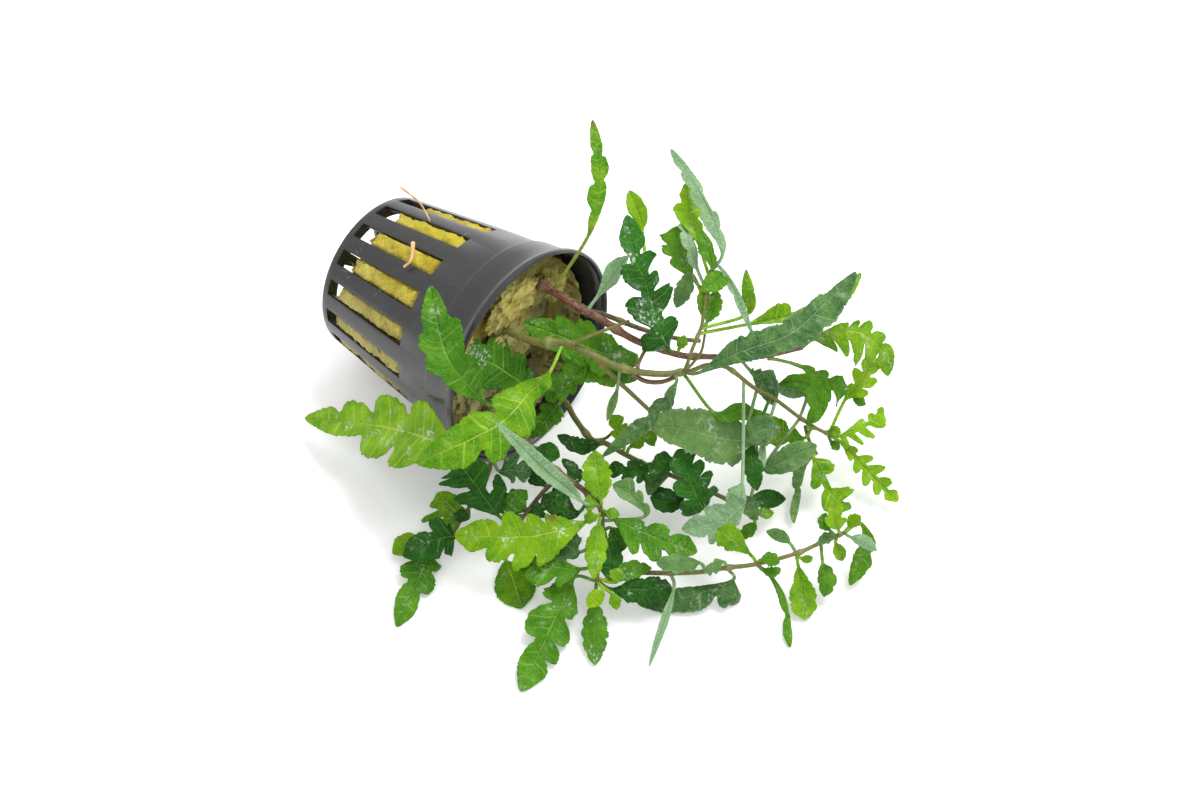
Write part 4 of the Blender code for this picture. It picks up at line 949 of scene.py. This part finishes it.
smallLeaves = {
    "leafMidLeft": plan("mid", "stemShoot", [(702, 292, 51), (692, 276, 52), (682, 248, 54), (677, 226, 56)],
        [(659, 234), (661, 248), (670, 264), (697, 230), (698, 250)], sinus=0.7, tone=1.0),
    "leafMidUp": plan("mid", "stemShoot", [(710, 272, 55), (712, 268, 57), (709, 250, 60), (701, 229, 62)],
        [(698, 252), (717, 262), (712, 243)], sinus=0.8, tone=0.7),
    "leafOvalUp": plan("lime", "stemShoot", [(704, 329, 47), (747, 314, 47), (748, 292, 52), (746, 269, 55)],
        wide=3.1, lobeCount=0, tone=0.45),
    "leafCurled": plan("mid", "stemRight", [(817, 429, 15), (808, 425, 18), (818, 408, 21), (813, 389, 23),
        (797, 382, 23.5), (778, 384, 22)], wide=5.4, lobeCount=2, tone=0.75),
    "leafHanging": plan("dull", "stemUpper", [(742, 357, 34), (751, 371, 29), (765, 386, 25), (774, 405, 21)],
        [(752, 365), (762, 369), (771, 368), (757, 392)], sinus=0.35, tone=0.15),
    "leafDrop": plan("dull", "stemTwig", [(815, 453, 9), (806, 464, 8), (799, 484, 5), (794, 523, 2)],
        [(803, 481), (801, 495), (790, 512), (794, 470)], sinus=0.5, tone=0.8),
    "leafHook": plan("mid", "stemLowRight", [(757, 565, 9.5), (768, 573, 8), (782, 594, 5), (787, 617, 2.5),
        (790, 647, 0.8)], [(779, 600), (783, 634), (793, 638)], sinus=0.3, tone=0.6),
    "leafNeedle": plan("pale", "stemLowRight", [(671, 574, 8), (674, 588, 8.5), (664, 622, 5),
        (656, 645, 2.5), (649, 667, 0.8)], wide=1.9, lobeCount=0),
    "leafHairy": plan("dull", "stemLowRight", [(706, 571, 9.5), (700, 563, 12), (678, 561, 14),
        (657, 563, 15)], [(690, 557), (676, 553), (663, 556), (692, 572), (677, 574), (663, 572)], sinus=0.85,
        tone=0.5, dew=0.5),
    "leafBack": plan("mid", "stemMain", [(684, 375, 36.5), (714, 412, 26), (738, 412, 24), (762, 418, 22)],
        [(744, 403), (730, 424)], tone=0.55),
    "leafRoundEnd": plan("dark", "stemFront", [(751, 511, 7), (750, 502, 8), (768, 499, 7.5),
        (786, 499, 6.5)], wide=4.6, lobeCount=0),
    "leafLowerMouth": plan("mid", "stemMain", [(590, 354, 39), (586, 363, 36), (568, 379, 32),
        (546, 400, 27)], [(573, 357), (565, 363), (553, 376), (584, 383), (575, 393), (566, 400), (553, 405)],
        sinus=0.75, tone=0.5, dew=0.4),
    "leafOvalTop": plan("lime", "stemUpper", [(655, 345, 41), (642, 228, 53.5), (636, 207, 56),
        (629, 190, 57)], wide=4.3, lobeCount=0, tone=0.5),
    "leafSilverMid": plan("pale", "stemShoot", [(706, 290, 51), (697, 268, 55.5), (690, 245, 57.5),
        (685, 221, 58.5)], [(676, 219), (680, 238), (695, 224), (698, 250), (688, 262)], sinus=0.55),
    "leafDownSilver": plan("dull", "stemShoot", [(703, 300, 50), (692, 274, 52.5), (684, 290, 50),
        (676, 308, 47)], wide=4.4, lobeCount=2, tone=0.8),
    "leafRoundShoot": plan("mid", "stemShoot", [(711, 274, 54), (726, 274, 55), (716, 281, 55),
        (703, 289, 54)], wide=5.0, lobeCount=0, tone=1.0),
    "leafRoundLow": plan("lime", "stemShoot", [(710, 280, 53), (712, 284, 54), (707, 287, 54),
        (701, 291, 53)], wide=2.6, lobeCount=0, tone=0.6),
    "leafShootA": plan("mid", "stemShoot", [(703, 326, 47), (707, 322, 48), (713, 306, 50), (717, 290, 52)],
        wide=4.4, lobeCount=3, tone=0.7),
    "leafShootB": plan("lime", "stemShoot", [(702, 322, 47.5), (703, 317, 48.5), (704, 300, 51),
        (705, 282, 53)], wide=3.4, lobeCount=1, tone=0.4),
    "leafNodeTiny": plan("lime", "stemUpper", [(678, 354, 40), (679, 349, 42), (682, 342, 43.5),
        (685, 335, 44)], wide=2.8, lobeCount=1),
    "leafSide": plan("mid", None, [(850, 396, 17.6), (852, 396, 17.6), (858, 399, 17), (866, 405, 15)],
        wide=2.8, lobeCount=0, tone=0.7),
    "leafCurlPale": plan("pale", "stemRight", [(800, 417, 18.5), (806, 396, 20), (790, 391, 20.5),
        (774, 387, 20.5)], wide=3.4, lobeCount=0),
    "leafThinGrey": plan("dull", "stemMain", [(620, 368, 38), (617, 390, 34), (612, 405, 31), (607, 421, 28)],
        wide=2.0, lobeCount=0, tone=0.6),
    "leafBehindDull": plan("lime", "stemFront", [(626, 455, 13), (630, 447, 16), (642, 439, 18),
        (657, 437, 18.5)], [(657, 446), (642, 427), (652, 430), (640, 449)], sinus=0.5, tone=0.25),
    "leafBehindUp": plan("lime", "stemFront", [(622, 453, 13), (624, 444, 16), (619, 430, 18),
        (611, 415, 20)], [(609, 425), (623, 416), (628, 424), (610, 435)], sinus=0.5, tone=0.3),
    "leafUnderDark": plan("dark", "stemFront", [(660, 471, 10.5), (650, 470, 12), (630, 471, 13.5),
        (606, 468, 13)], [(612, 478), (625, 482), (640, 484), (615, 461), (632, 460), (645, 458)], sinus=0.4,
        tone=0.6),
    "leafFinelyLobed": plan("dark", "stemFront", [(660, 471, 10.5), (650, 486, 12.5), (657, 469, 15),
        (667, 453, 16.5)], [(648, 463), (655, 456), (664, 468), (644, 475), (670, 470)], sinus=0.35,
        tone=0.75),
    "leafDarkOval": plan("dark", "stemFront", [(697, 486, 9), (684, 496, 9.5), (667, 502, 9), (650, 497, 9)],
        wide=5.4, lobeCount=0, tone=0.5),
    "leafPaleStar": plan("dull", "stemLow", [(604, 520, 14), (645, 516, 14), (632, 496, 16.5),
        (613, 484, 18)], [(631, 477), (641, 490), (620, 498), (649, 505)], sinus=0.4, tone=0.8),
    "leafBlock": plan("dark", "stemRight", [(771, 396, 24), (753, 444, 20), (753, 468, 18.5), (757, 491, 16)],
        wide=5.0, lobeCount=1, tone=0.8),
    "leafStripe": plan("pale", "stemRight", [(776, 400, 23), (764, 440, 20), (762, 460, 18.5),
        (758, 480, 17)], wide=1.9, lobeCount=0),
    "leafRoundGrey": plan("dull", "stemRight", [(757, 390, 26), (746, 437, 23), (763, 430, 24.5),
        (782, 430, 23.5)], wide=7.4, lobeCount=0, tone=0.5),
    "leafGreyEnd": plan("dull", "stemRight", [(800, 418, 18), (765, 466, 15), (785, 461, 16),
        (803, 451, 16.5), (817, 445, 16)], wide=6.2, lobeCount=0, tone=0.7),
    "leafTinyBright": plan("lime", "stemFront", [(752, 511, 7.5), (757, 511, 6.5), (766, 513, 6),
        (774, 513, 5.5)], wide=2.9, lobeCount=0, tone=0.3),
    "leafGreyUp": plan("dull", "stemFront", [(752, 511, 7.5), (757, 519, 8), (751, 508, 11), (744, 495, 13)],
        wide=4.2, lobeCount=1, tone=0.4),
    "leafGreyDown": plan("mid", "stemFront", [(752, 512, 7), (755, 522, 8.5), (748, 531, 6.5),
        (739, 538, 4.5)], wide=3.4, lobeCount=1, tone=0.8),
    "leafUpperGlossy": plan("mid", "stemLow", [(598, 580, 8.5), (610, 579, 9.5), (632, 570, 10),
        (652, 568, 9.5)], wide=4.6, lobeCount=2, tone=0.4, dew=0.5),
    "leafBudLow": plan("lime", "stemLow", [(600, 578, 9), (611, 582, 10), (616, 576, 11), (621, 568, 11.5)],
        wide=3.6, lobeCount=1, tone=0.5),
    "leafDarkBehind": plan("dark", "stemLow", [(603, 528, 12.5), (607, 541, 11.5), (611, 557, 10.5),
        (607, 579, 9)], wide=5.8, lobeCount=1, tone=0.6),
    "leafTinyPale": plan("lime", "stemLow", [(598, 582, 8.5), (603, 590, 10), (596, 598, 9.5),
        (587, 607, 8.5)], wide=3.6, lobeCount=0, tone=0.8),
    "leafTinyYellow": plan("lime", "stemLow", [(600, 583, 8), (611, 593, 8.5), (615, 601, 8), (617, 610, 7)],
        wide=3.0, lobeCount=1, tone=0.5),
    "leafNodeSmall": plan("dull", "stemLowRight", [(727, 568, 10), (724, 562, 12), (714, 565, 12.5),
        (704, 571, 12)], [(716, 558), (708, 564), (718, 573), (709, 577)], sinus=0.6, tone=0.7),
    "leafDarkA": plan("dull", "stemLeft", [(492, 458, 16.5), (499, 471, 15.5), (512, 470, 17),
        (531, 473, 16)], [(517, 451), (529, 459), (504, 457), (512, 483), (525, 483)], sinus=0.45, tone=0.0),
    "leafDarkB": plan("dark", "stemFork", [(528, 510, 8), (504, 513, 10.5), (500, 494, 13), (497, 474, 15.5)],
        [(507, 488), (491, 500), (507, 502), (492, 484)], sinus=0.35, tone=0.4),
    "leafDarkC": plan("mid", "stemFork", [(524, 516, 7.5), (508, 514, 10), (516, 501, 12), (527, 490, 13)],
        wide=5.4, lobeCount=2, tone=0.3),
    "leafDarkD": plan("dark", "stemLow", [(590, 495, 15.5), (579, 512, 14), (562, 506, 14.5), (547, 493, 15)],
        [(548, 512), (568, 493), (560, 522), (552, 499)], sinus=0.5, tone=0.5),
    "leafDarkEye": plan("dark", "stemLow", [(532, 447, 19.8), (537, 448, 21), (549, 452, 21), (560, 457, 20)],
        wide=4.8, lobeCount=0, tone=0.6),
    "leafDarkMid": plan("dull", "stemLow", [(602, 540, 11.5), (580, 552, 11.5), (568, 546, 12),
        (554, 548, 11.5)], wide=8.2, lobeCount=1, tone=0.0),
    "leafDarkSmall": plan("dark", "stemLeft", [(468, 509, 7.5), (468, 518, 7), (462, 516, 7.5),
        (454, 514, 7.5)], wide=3.2, lobeCount=0),
    "leafLeftSmall": plan("lime", "stemLeft", [(449, 541, 5), (415, 536, 5), (403, 545, 4), (392.5, 554, 2)],
        wide=5.0, lobeCount=0, tone=0.5),
    "leafCross": plan("dark", "stemFront", [(604, 443, 14), (600, 444, 15), (580, 446, 15.5), (557, 435, 16)],
        wide=4.2, lobeCount=2, tone=0.7),
    "leafMouthLow": plan("mid", "stemFront", [(562, 399, 17.5), (558, 404, 22), (547, 419, 22),
        (531, 438, 19)], [(567, 413), (561, 422), (549, 431), (541, 402), (533, 420)], sinus=0.7, tone=0.2),
    "leafShootCup": plan("lime", "stemLowRight", [(842, 534, 11.5), (839, 530, 13.5), (834, 516, 17),
        (836, 497, 20)], [(828, 507), (824, 521), (843, 507), (848, 520)], sinus=0.6, tone=0.85, fold=0.35),
    "leafShootYellow": plan("lime", "stemLowRight", [(844, 533, 11.5), (848, 528, 13.5), (855, 520, 16),
        (861, 516, 17)], wide=3.6, lobeCount=1, tone=0.9),
    "leafTipPale": plan("pale", "stemLowRight", [(846, 534, 11), (851, 537, 11.5), (864, 541, 11),
        (877, 551, 9)], wide=3.2, lobeCount=0),
    "leafTipDown": plan("lime", "stemLowRight", [(836, 537, 11.5), (836, 543, 10.5), (839, 551, 9),
        (842.5, 561, 7)], wide=3.0, lobeCount=0, tone=0.5),
    "leafNodeC": plan("dull", "stemLowRight", [(815, 546, 11.5), (818, 543, 12.5), (827, 538, 13),
        (835, 536, 13)], wide=2.8, lobeCount=1, tone=0.7),
    "leafNodeD": plan("lime", "stemLowRight", [(797, 555, 11), (801, 558, 10.5), (807, 559, 10),
        (813, 557, 10)], wide=2.0, lobeCount=0, tone=0.5),
    "leafNodeE": plan("mid", "stemLowRight", [(758, 563, 10.5), (761, 560, 12), (771, 559, 12),
        (780, 563, 11.5)], wide=3.6, lobeCount=2, tone=0.8),
    "leafNodeF": plan("mid", "stemLowRight", [(759, 566, 9.5), (763, 570, 9.5), (773, 572, 9), (781, 568, 9)],
        wide=2.8, lobeCount=1, tone=0.7),
    "leafHookSmall": plan("dull", "stemLowRight", [(796, 552, 11.5), (790, 543, 13), (779, 535, 13.5),
        (766, 531, 13)], wide=3.0, lobeCount=0, tone=0.7),
    "leafSideSmall": plan("mid", "stemLowRight", [(821, 543.5, 11), (823, 563, 7.5), (827, 580, 5),
        (824, 597, 3)], wide=4.6, lobeCount=1, tone=0.8),
    "leafBudRight": plan("lime", "stemRight", [(826, 433, 13), (829, 431, 14), (834, 431, 14.5),
        (841, 433, 14)], wide=2.8, lobeCount=1),
    "leafBudRightLow": plan("mid", "stemRight", [(828, 436, 12), (831, 441, 11.5), (835, 445, 11),
        (839, 450, 10)], wide=2.4, lobeCount=1, tone=0.8),
    "leafBudA": plan("lime", "stemLow", [(600, 508, 15.5), (597, 504, 17), (591, 502, 18), (584, 500, 18)],
        wide=4.6, lobeCount=1, tone=0.35),
    "leafBudB": plan("lime", "stemLow", [(602, 510, 15.5), (606, 511, 16.5), (612, 513, 17),
        (620, 515, 16.5)], wide=3.0, lobeCount=1, tone=0.4),
    "leafBudC": plan("lime", "stemLow", [(601, 513, 15.5), (597, 515, 17), (591, 517, 17), (584, 515, 16.5)],
        wide=3.2, lobeCount=1, tone=0.45),
    "leafUnderLow": plan("mid", "stemMain", [(558, 348, 38), (572, 360, 35.5), (600, 373, 33.5),
        (637, 379, 33)], [(590, 357), (618, 366), (585, 382), (608, 387), (625, 384)], sinus=0.85, tone=0.9,
        dew=0.8),
    "leafShootSide": plan("mid", "stemLowRight", [(836, 536, 11.5), (830, 530, 14), (824, 522, 16),
        (826, 513, 18)], wide=3.0, lobeCount=2, tone=0.9),
    "leafFillA": plan("dark", "stemFork", [(552, 484, 12), (547, 486, 11), (535, 476, 12.5), (521, 463, 14)],
        [(545, 470), (532, 459), (530, 484), (516, 476)], sinus=0.45, tone=0.6),
    "leafFillB": plan("dark", "stemFork", [(556, 479, 13), (556, 484, 12), (560, 500, 10.5), (555, 517, 9)],
        [(570, 491), (567, 508), (548, 497), (547, 511)], sinus=0.45, tone=0.4),
    "leafFillC": plan("dull", "stemFork", [(528, 510, 8), (523, 506, 9), (509, 499, 10), (492, 507, 9)],
        [(514, 488), (500, 492), (512, 512), (498, 514)], sinus=0.5, tone=0.0),
    "leafFillD": plan("dark", "stemLow", [(575, 484, 16.5), (580, 478, 17.5), (573, 466, 18), (562, 459, 18)],
        [(577, 464), (568, 478), (582, 470)], sinus=0.6, tone=0.5),
    "leafFillE": plan("mid", "stemLow", [(602, 530, 12.5), (611, 528, 13), (617, 541, 11), (614, 556, 9)],
        wide=5.0, lobeCount=2, tone=0.1),
    "leafFillF": plan("dull", "stemFront", [(668, 474, 10), (649, 494, 9), (656, 478, 11), (665, 451, 13)],
        [(643, 477), (652, 461), (671, 471), (676, 458)], sinus=0.4, tone=0.3),
    "leafFillG": plan("dark", "stemFront", [(668, 474, 10), (652, 487, 8), (667, 498, 7), (684, 503, 6)],
        wide=4.6, lobeCount=1, tone=0.7),
    "leafFillH": plan("dark", "stemFork", [(530, 508, 8), (531, 516, 8), (541, 508, 10), (555, 494, 12)],
        [(533, 501), (544, 494), (544, 518), (556, 508)], sinus=0.45, tone=0.4),
}


def startOnStem(line, place, heading):
    # a point on the stem's surface, on the side where the leaf leaves it
    pixel = Vector(place[:2])
    index = min(range(len(line)), key=lambda i: (pictured(line[i][0]) - pixel).length)
    middle, radius = line[index]
    ahead = line[min(index + 1, len(line) - 1)][0] - line[max(index - 1, 0)][0]
    outward = heading - middle
    outward -= ahead * (outward.dot(ahead) / ahead.length_squared)
    return middle + outward.normalized() * (radius * leaf["onStem"] * mm)


def leafFrame(rib, count):
    # points along the midrib, each with the blade's sideways and upward directions
    line = smoothLine(rib, count)
    rows = []
    for index, point in enumerate(line):
        ahead = (line[min(index + 1, count - 1)] - line[max(index - 1, 0)]).normalized()
        side = ahead.cross(leafFacing).normalized()
        rows.append((point, side, side.cross(ahead).normalized(), ahead))
    return rows


def lobePlaces(rows, lobes, bladeStart):
    # lobe tips from pixels to (place along the rib, distance from it) for each side of the blade
    sides = {1: [], -1: []}
    last = len(rows) - 1
    for lobe in lobes:
        pixel = Vector(lobe)
        best = None
        for index in range(int(bladeStart * last) + 1, last - 1):
            point, side = rows[index][:2]
            base = pictured(point)
            reach = pictured(point + side * mm) - base
            wide = (pixel - base).dot(reach) / reach.length_squared
            miss = (pixel - base - reach * wide).length + leaf["missCost"] * abs(wide)
            if best is None or miss < best[0]:
                best = (miss, index / last, wide)
        sides[1 if best[2] > 0 else -1].append((best[1], abs(best[2])))
    return {sign: sorted(found) for sign, found in sides.items()}


def halfWidth(row, lobes, bladeStart, along):
    # half width in mm at a place along the rib, and the vein phase there: lobe tips fall on whole numbers
    petiole = leaf["petiole"]
    if along <= bladeStart:
        return petiole, 0.0
    if "wide" in row:
        x = (along - bladeStart) / (1 - bladeStart)
        bend = log(0.5) / log(row.get("widest", leaf["widest"]))
        full = row["wide"] / 2 * sin(pi * x ** bend) ** leaf["fullness"]
        teeth = row["lobeCount"] + 2
        notch = leaf["notch"] * (1 - abs(sin(pi * teeth * x ** 0.9))) ** 1.5 if row["lobeCount"] else 0
        return max(full * (1 - notch), petiole * (1 - x)), x * leaf["plainVeins"]
    sinus = row.get("sinus", leaf["sinus"])
    valleys = [(bladeStart, petiole)]
    for (a, wideA), (b, wideB) in zip(lobes, lobes[1:]):
        valleys.append(((a + b) / 2, sinus * (wideA + wideB) / 2))
    valleys.append((1.0, leaf["tip"]))
    if not lobes:
        x = (along - bladeStart) / (1 - bladeStart)
        return petiole + leaf["plainSwell"] * sin(pi * x), x
    for place, (tip, wide) in enumerate(lobes):
        low, high = valleys[place], valleys[place + 1]
        if along > high[0] and place < len(lobes) - 1:
            continue
        if along < tip:
            near, x = low, (along - low[0]) / max(tip - low[0], leaf["leastStep"])
            phase = place + 0.5 + 0.5 * x if place else x
        else:
            near, x = high, (high[0] - along) / max(high[0] - tip, leaf["leastStep"])
            phase = place + 1 + 0.5 * (1 - x)
        x = min(max(x, 0), 1)
        if place == 0 and along < tip:
            bulge = 0.3 * x + 0.7 * smoothStep(x)
        elif place == len(lobes) - 1 and along > tip:
            bulge = x ** row.get("point", leaf["point"])
        else:
            gap = row.get("gap", leaf["gap"])
            x = max(x - gap, 0) / (1 - gap)
            bulge = (1 - (1 - x) ** leaf["round"]) ** (1 / leaf["round"])
        return near[1] + (wide - near[1]) * bulge, phase
    return leaf["tip"], 0.0


def leaningLobes(sides, lean, length, bladeStart):
    # a leaning lobe grows from nearer the leaf's base than its tip
    grown = {}
    for sign, lobes in sides.items():
        first = bladeStart + leaf["firstLobe"]
        grown[sign] = [(max(tip - lean * wide / length, first), wide) for tip, wide in lobes]
    return grown


def onFrame(frames, place, length):
    # a point on the midrib with its directions, or past its end for a place over 1
    last = len(frames) - 1
    spot = min(max(place, 0), 1) * last
    low = min(int(spot), last - 1)
    part = spot - low
    point, side, up = [frames[low][item].lerp(frames[low + 1][item], part) for item in range(3)]
    if place > 1:
        point = point + frames[last][3] * ((place - 1) * length * mm)
    return point, side, up


def toothed(blade, along, sign, spread):
    # small teeth round the edge, as a share of the width
    jag = noise.noise(Vector((along * blade["length"] * leaf["jagScale"], sign * 3, blade["seed"])))
    nick = 1 - abs(sin(pi * (along * blade["length"] * leaf["teeth"] + jag)))
    return 1 + (leaf["jagSize"] * jag - leaf["nickSize"] * nick ** 2) * smoothStep((spread - 0.5) / 0.5)


def bladeNoise(blade, along, out, alongScale, outScale, layer):
    spot = Vector((along * blade["length"] * alongScale, out * outScale, layer))
    return noise.noise(spot + blade["wobble"])


def bladeHeight(blade, along, out, spread, wide, phase, inBlade):
    # height over a flat blade in mm: folded, curled and waved, sunk between the veins and along the rib
    wave = bladeNoise(blade, along, out, *leaf["waveNoise"])
    ripple = bladeNoise(blade, along, out, *leaf["rippleNoise"])
    height = blade["fold"] * abs(out) + blade["curl"] * spread * spread * min(wide, leaf["curlWidest"]) * 0.5
    height = height + wave * leaf["wave"] * spread + ripple * leaf["ripple"]
    pucker = leaf["pucker"] * (1 - abs(sin(pi * phase)) ** 1.5)
    pucker = pucker * smoothStep((spread - 0.05) / 0.25) * (1 - 0.5 * spread)
    groove = leaf["groove"] * (1 - smoothStep(spread / leaf["grooveWide"]))
    height = (height - pucker - groove) * inBlade * min(wide / leaf["flatBelow"], 1)
    roundness = (1 - sqrt(max(1 - spread * spread, 0))) * wide * leaf["stalkRound"]
    return height - roundness * (1 - inBlade)


def brownShare(blade, row, point, along, out, inBlade):
    brown = smoothStep((along - (1 - leaf["tipShare"])) / leaf["tipShare"]) * row.get("brownTip", 0)
    brown = max(brown, (1 - inBlade) * row.get("brownStalk", 0))
    if "spot" in row:
        ragged = 3 * bladeNoise(blade, along, out, *leaf["rippleNoise"])
        far = (pictured(point) - Vector(row["spot"])).length
        brown = max(brown, leaf["spotDark"] * (1 - smoothStep((far + ragged) / leaf["spotSize"])))
    return brown


def mapBlade(mesh, phases, acrosses):
    # the middle column's vein phase differs from side to side, so each face reads its own side's
    layer = newMap(mesh, "leafMap")
    for face in mesh.polygons:
        sign = 1 if sum(acrosses[index] for index in face.vertices) > 0 else -1
        for loop in face.loop_indices:
            index = mesh.loops[loop].vertex_index
            layer.data[loop].uv = ((acrosses[index] + 1) / 2, phases[index][sign])


def finishBlade(piece, looks, nodes):
    thick = piece.modifiers.new("thick", "SOLIDIFY")
    thick.thickness = leaf["thick"] * mm
    thick.offset = -1
    thick.material_offset = 1
    thick.material_offset_rim = 1
    applyModifiers(piece)
    bpy.ops.object.shade_smooth()
    piece.data.materials.append(finishes[looks])
    piece.data.materials.append(finishes[leafLooks[looks]["back"]])
    finishPiece(piece, "leaf_mid" if looks == "dull" else "leaf_" + looks, nodes)


def makeLeaf(name, row, seed, nodes):
    points = [seen(*place) for place in row["rib"]]
    if row["stem"]:
        points[0] = startOnStem(stemLines[row["stem"]], row["rib"][0], points[1])
    frames = leafFrame(points, leaf["ribPoints"])
    last = len(frames) - 1
    length = sum((b[0] - a[0]).length for a, b in zip(frames, frames[1:])) / mm
    bladeStart = min(range(last), key=lambda i: (frames[i][0] - points[1]).length) / last
    plain = "wide" in row
    sides = {1: [], -1: []} if plain else lobePlaces(frames, row["lobes"], bladeStart)
    lean = leaf["lean"] * (leaf["plainLean"] if plain else 1)
    grown = leaningLobes(sides, lean, length, bladeStart)
    rows, columns = leaf["fine"] if nodes else leaf["coarse"]
    piece = addGrid(name, columns, rows)
    dice = Random(seed)
    blade = {"length": length, "seed": seed, "wobble": Vector((seed * 1.7, seed * 0.9, seed * 2.3))}
    blade["fold"] = row.get("fold", dice.uniform(*leaf["foldRange"]))
    blade["curl"] = dice.uniform(*leaf["curlRange"])
    leafTone = row.get("tone", dice.uniform(*leaf["toneRange"]))
    widths = {}
    for sign in (1, -1):
        widths[sign] = [halfWidth(row, grown[sign], bladeStart, k / rows) for k in range(rows + 1)]
    phases, acrosses, tones, ages = {}, {}, [], []
    for vertex in piece.data.vertices:
        across = vertex.co.x * 2
        spread = abs(across)
        sign = 1 if across > 0 else -1
        k = round((vertex.co.y + 0.5) * rows)
        along = k / rows
        wide, phase = widths[sign][k]
        inBlade = smoothStep((along - bladeStart) / leaf["startFade"])
        toEnd = 1 - smoothStep((along - (1 - leaf["endFade"])) / leaf["endFade"])
        place = along + lean * spread * wide / length * inBlade * toEnd
        point, side, up = onFrame(frames, place, length)
        out = across * wide * toothed(blade, along, sign, spread)
        height = bladeHeight(blade, along, out, spread, wide, phase, inBlade)
        vertex.co = point + side * (out * mm) + up * (height * mm)
        vertex.co.z = max(vertex.co.z, leaf["lowest"] * mm)
        phases[vertex.index] = {1: widths[1][k][1], -1: widths[-1][k][1]}
        acrosses[vertex.index] = across
        mottle = bladeNoise(blade, along, out, *leaf["mottleNoise"])
        # painted sheen: the outer half of the leaf gets a lighter tone
        tipTone = row.get("tipTone", 0) * smoothStep((along - 0.5) / 0.2)
        tones.append(leafTone + tipTone + 0.16 * mottle + 0.12 * (along - 0.5) + 0.1 * (1 - inBlade))
        ages.append(brownShare(blade, row, vertex.co, along, out, inBlade))
    mapBlade(piece.data, phases, acrosses)
    setAttribute(piece.data, "tone", tones)
    setAttribute(piece.data, "age", ages)
    setAttribute(piece.data, "dew", [row.get("dew", leaf["dew"])] * len(ages))
    finishBlade(piece, row["looks"], nodes)


leafSeeds = {"first": 11, "step": 7, "firstSmall": 503, "stepSmall": 5}
for number, (name, row) in enumerate(leaves.items()):
    makeLeaf(name, row, leafSeeds["first"] + number * leafSeeds["step"], [cadName(name)])
for number, (name, row) in enumerate(smallLeaves.items()):
    makeLeaf(name, row, leafSeeds["firstSmall"] + number * leafSeeds["stepSmall"], [])
print("leaves ready")


# Floor, light and camera

studio = {"floor": 3.0, "floorTone": 0.92, "floorGlow": 0.17, "floorRough": 0.8, "floorShine": 0.1,
          "world": 1.0, "key": 8.0, "keySize": 0.5, "keyPlace": (0.35, 0.35, 0.9), "lens": 73.2, "sensor": 36,
          "near": 0.01}


def setStage():
    bpy.ops.object.select_all(action="DESELECT")
    bpy.ops.mesh.primitive_plane_add(size=studio["floor"], location=(0, 0, 0))
    floor = bpy.context.active_object
    floor.name = "floor"
    white = bpy.data.materials.new("floorWhite")
    white.use_nodes = True
    shader = white.node_tree.nodes["Principled BSDF"]
    values = {"Base Color": (*[studio["floorTone"]] * 3, 1), "Roughness": studio["floorRough"],
              "Specular IOR Level": studio["floorShine"], "Emission Color": (1, 1, 1, 1),
              "Emission Strength": studio["floorGlow"]}
    for socket, value in values.items():
        shader.inputs[socket].default_value = value
    floor.data.materials.append(white)
    world = bpy.data.worlds.new("studio")
    world.use_nodes = True
    background = world.node_tree.nodes["Background"]
    background.inputs["Color"].default_value = (1, 1, 1, 1)
    background.inputs["Strength"].default_value = studio["world"]
    bpy.context.scene.world = world
    bpy.ops.object.light_add(type="AREA", location=studio["keyPlace"])
    key = bpy.context.active_object
    key.data.size = studio["keySize"]
    key.data.energy = studio["key"]
    key.rotation_euler = (-Vector(studio["keyPlace"])).to_track_quat("-Z", "Y").to_euler()
    bpy.ops.object.camera_add(location=viewPoint - plantMiddle)
    camera = bpy.context.active_object
    camera.rotation_euler = (-viewBack).to_track_quat("-Z", "Y").to_euler()
    camera.data.lens = studio["lens"]
    camera.data.sensor_width = studio["sensor"]
    camera.data.sensor_fit = "HORIZONTAL"
    camera.data.clip_start = studio["near"]
    bpy.context.scene.camera = camera
    bpy.context.scene.view_settings.view_transform = "Standard"


setStage()
print("scene ready")
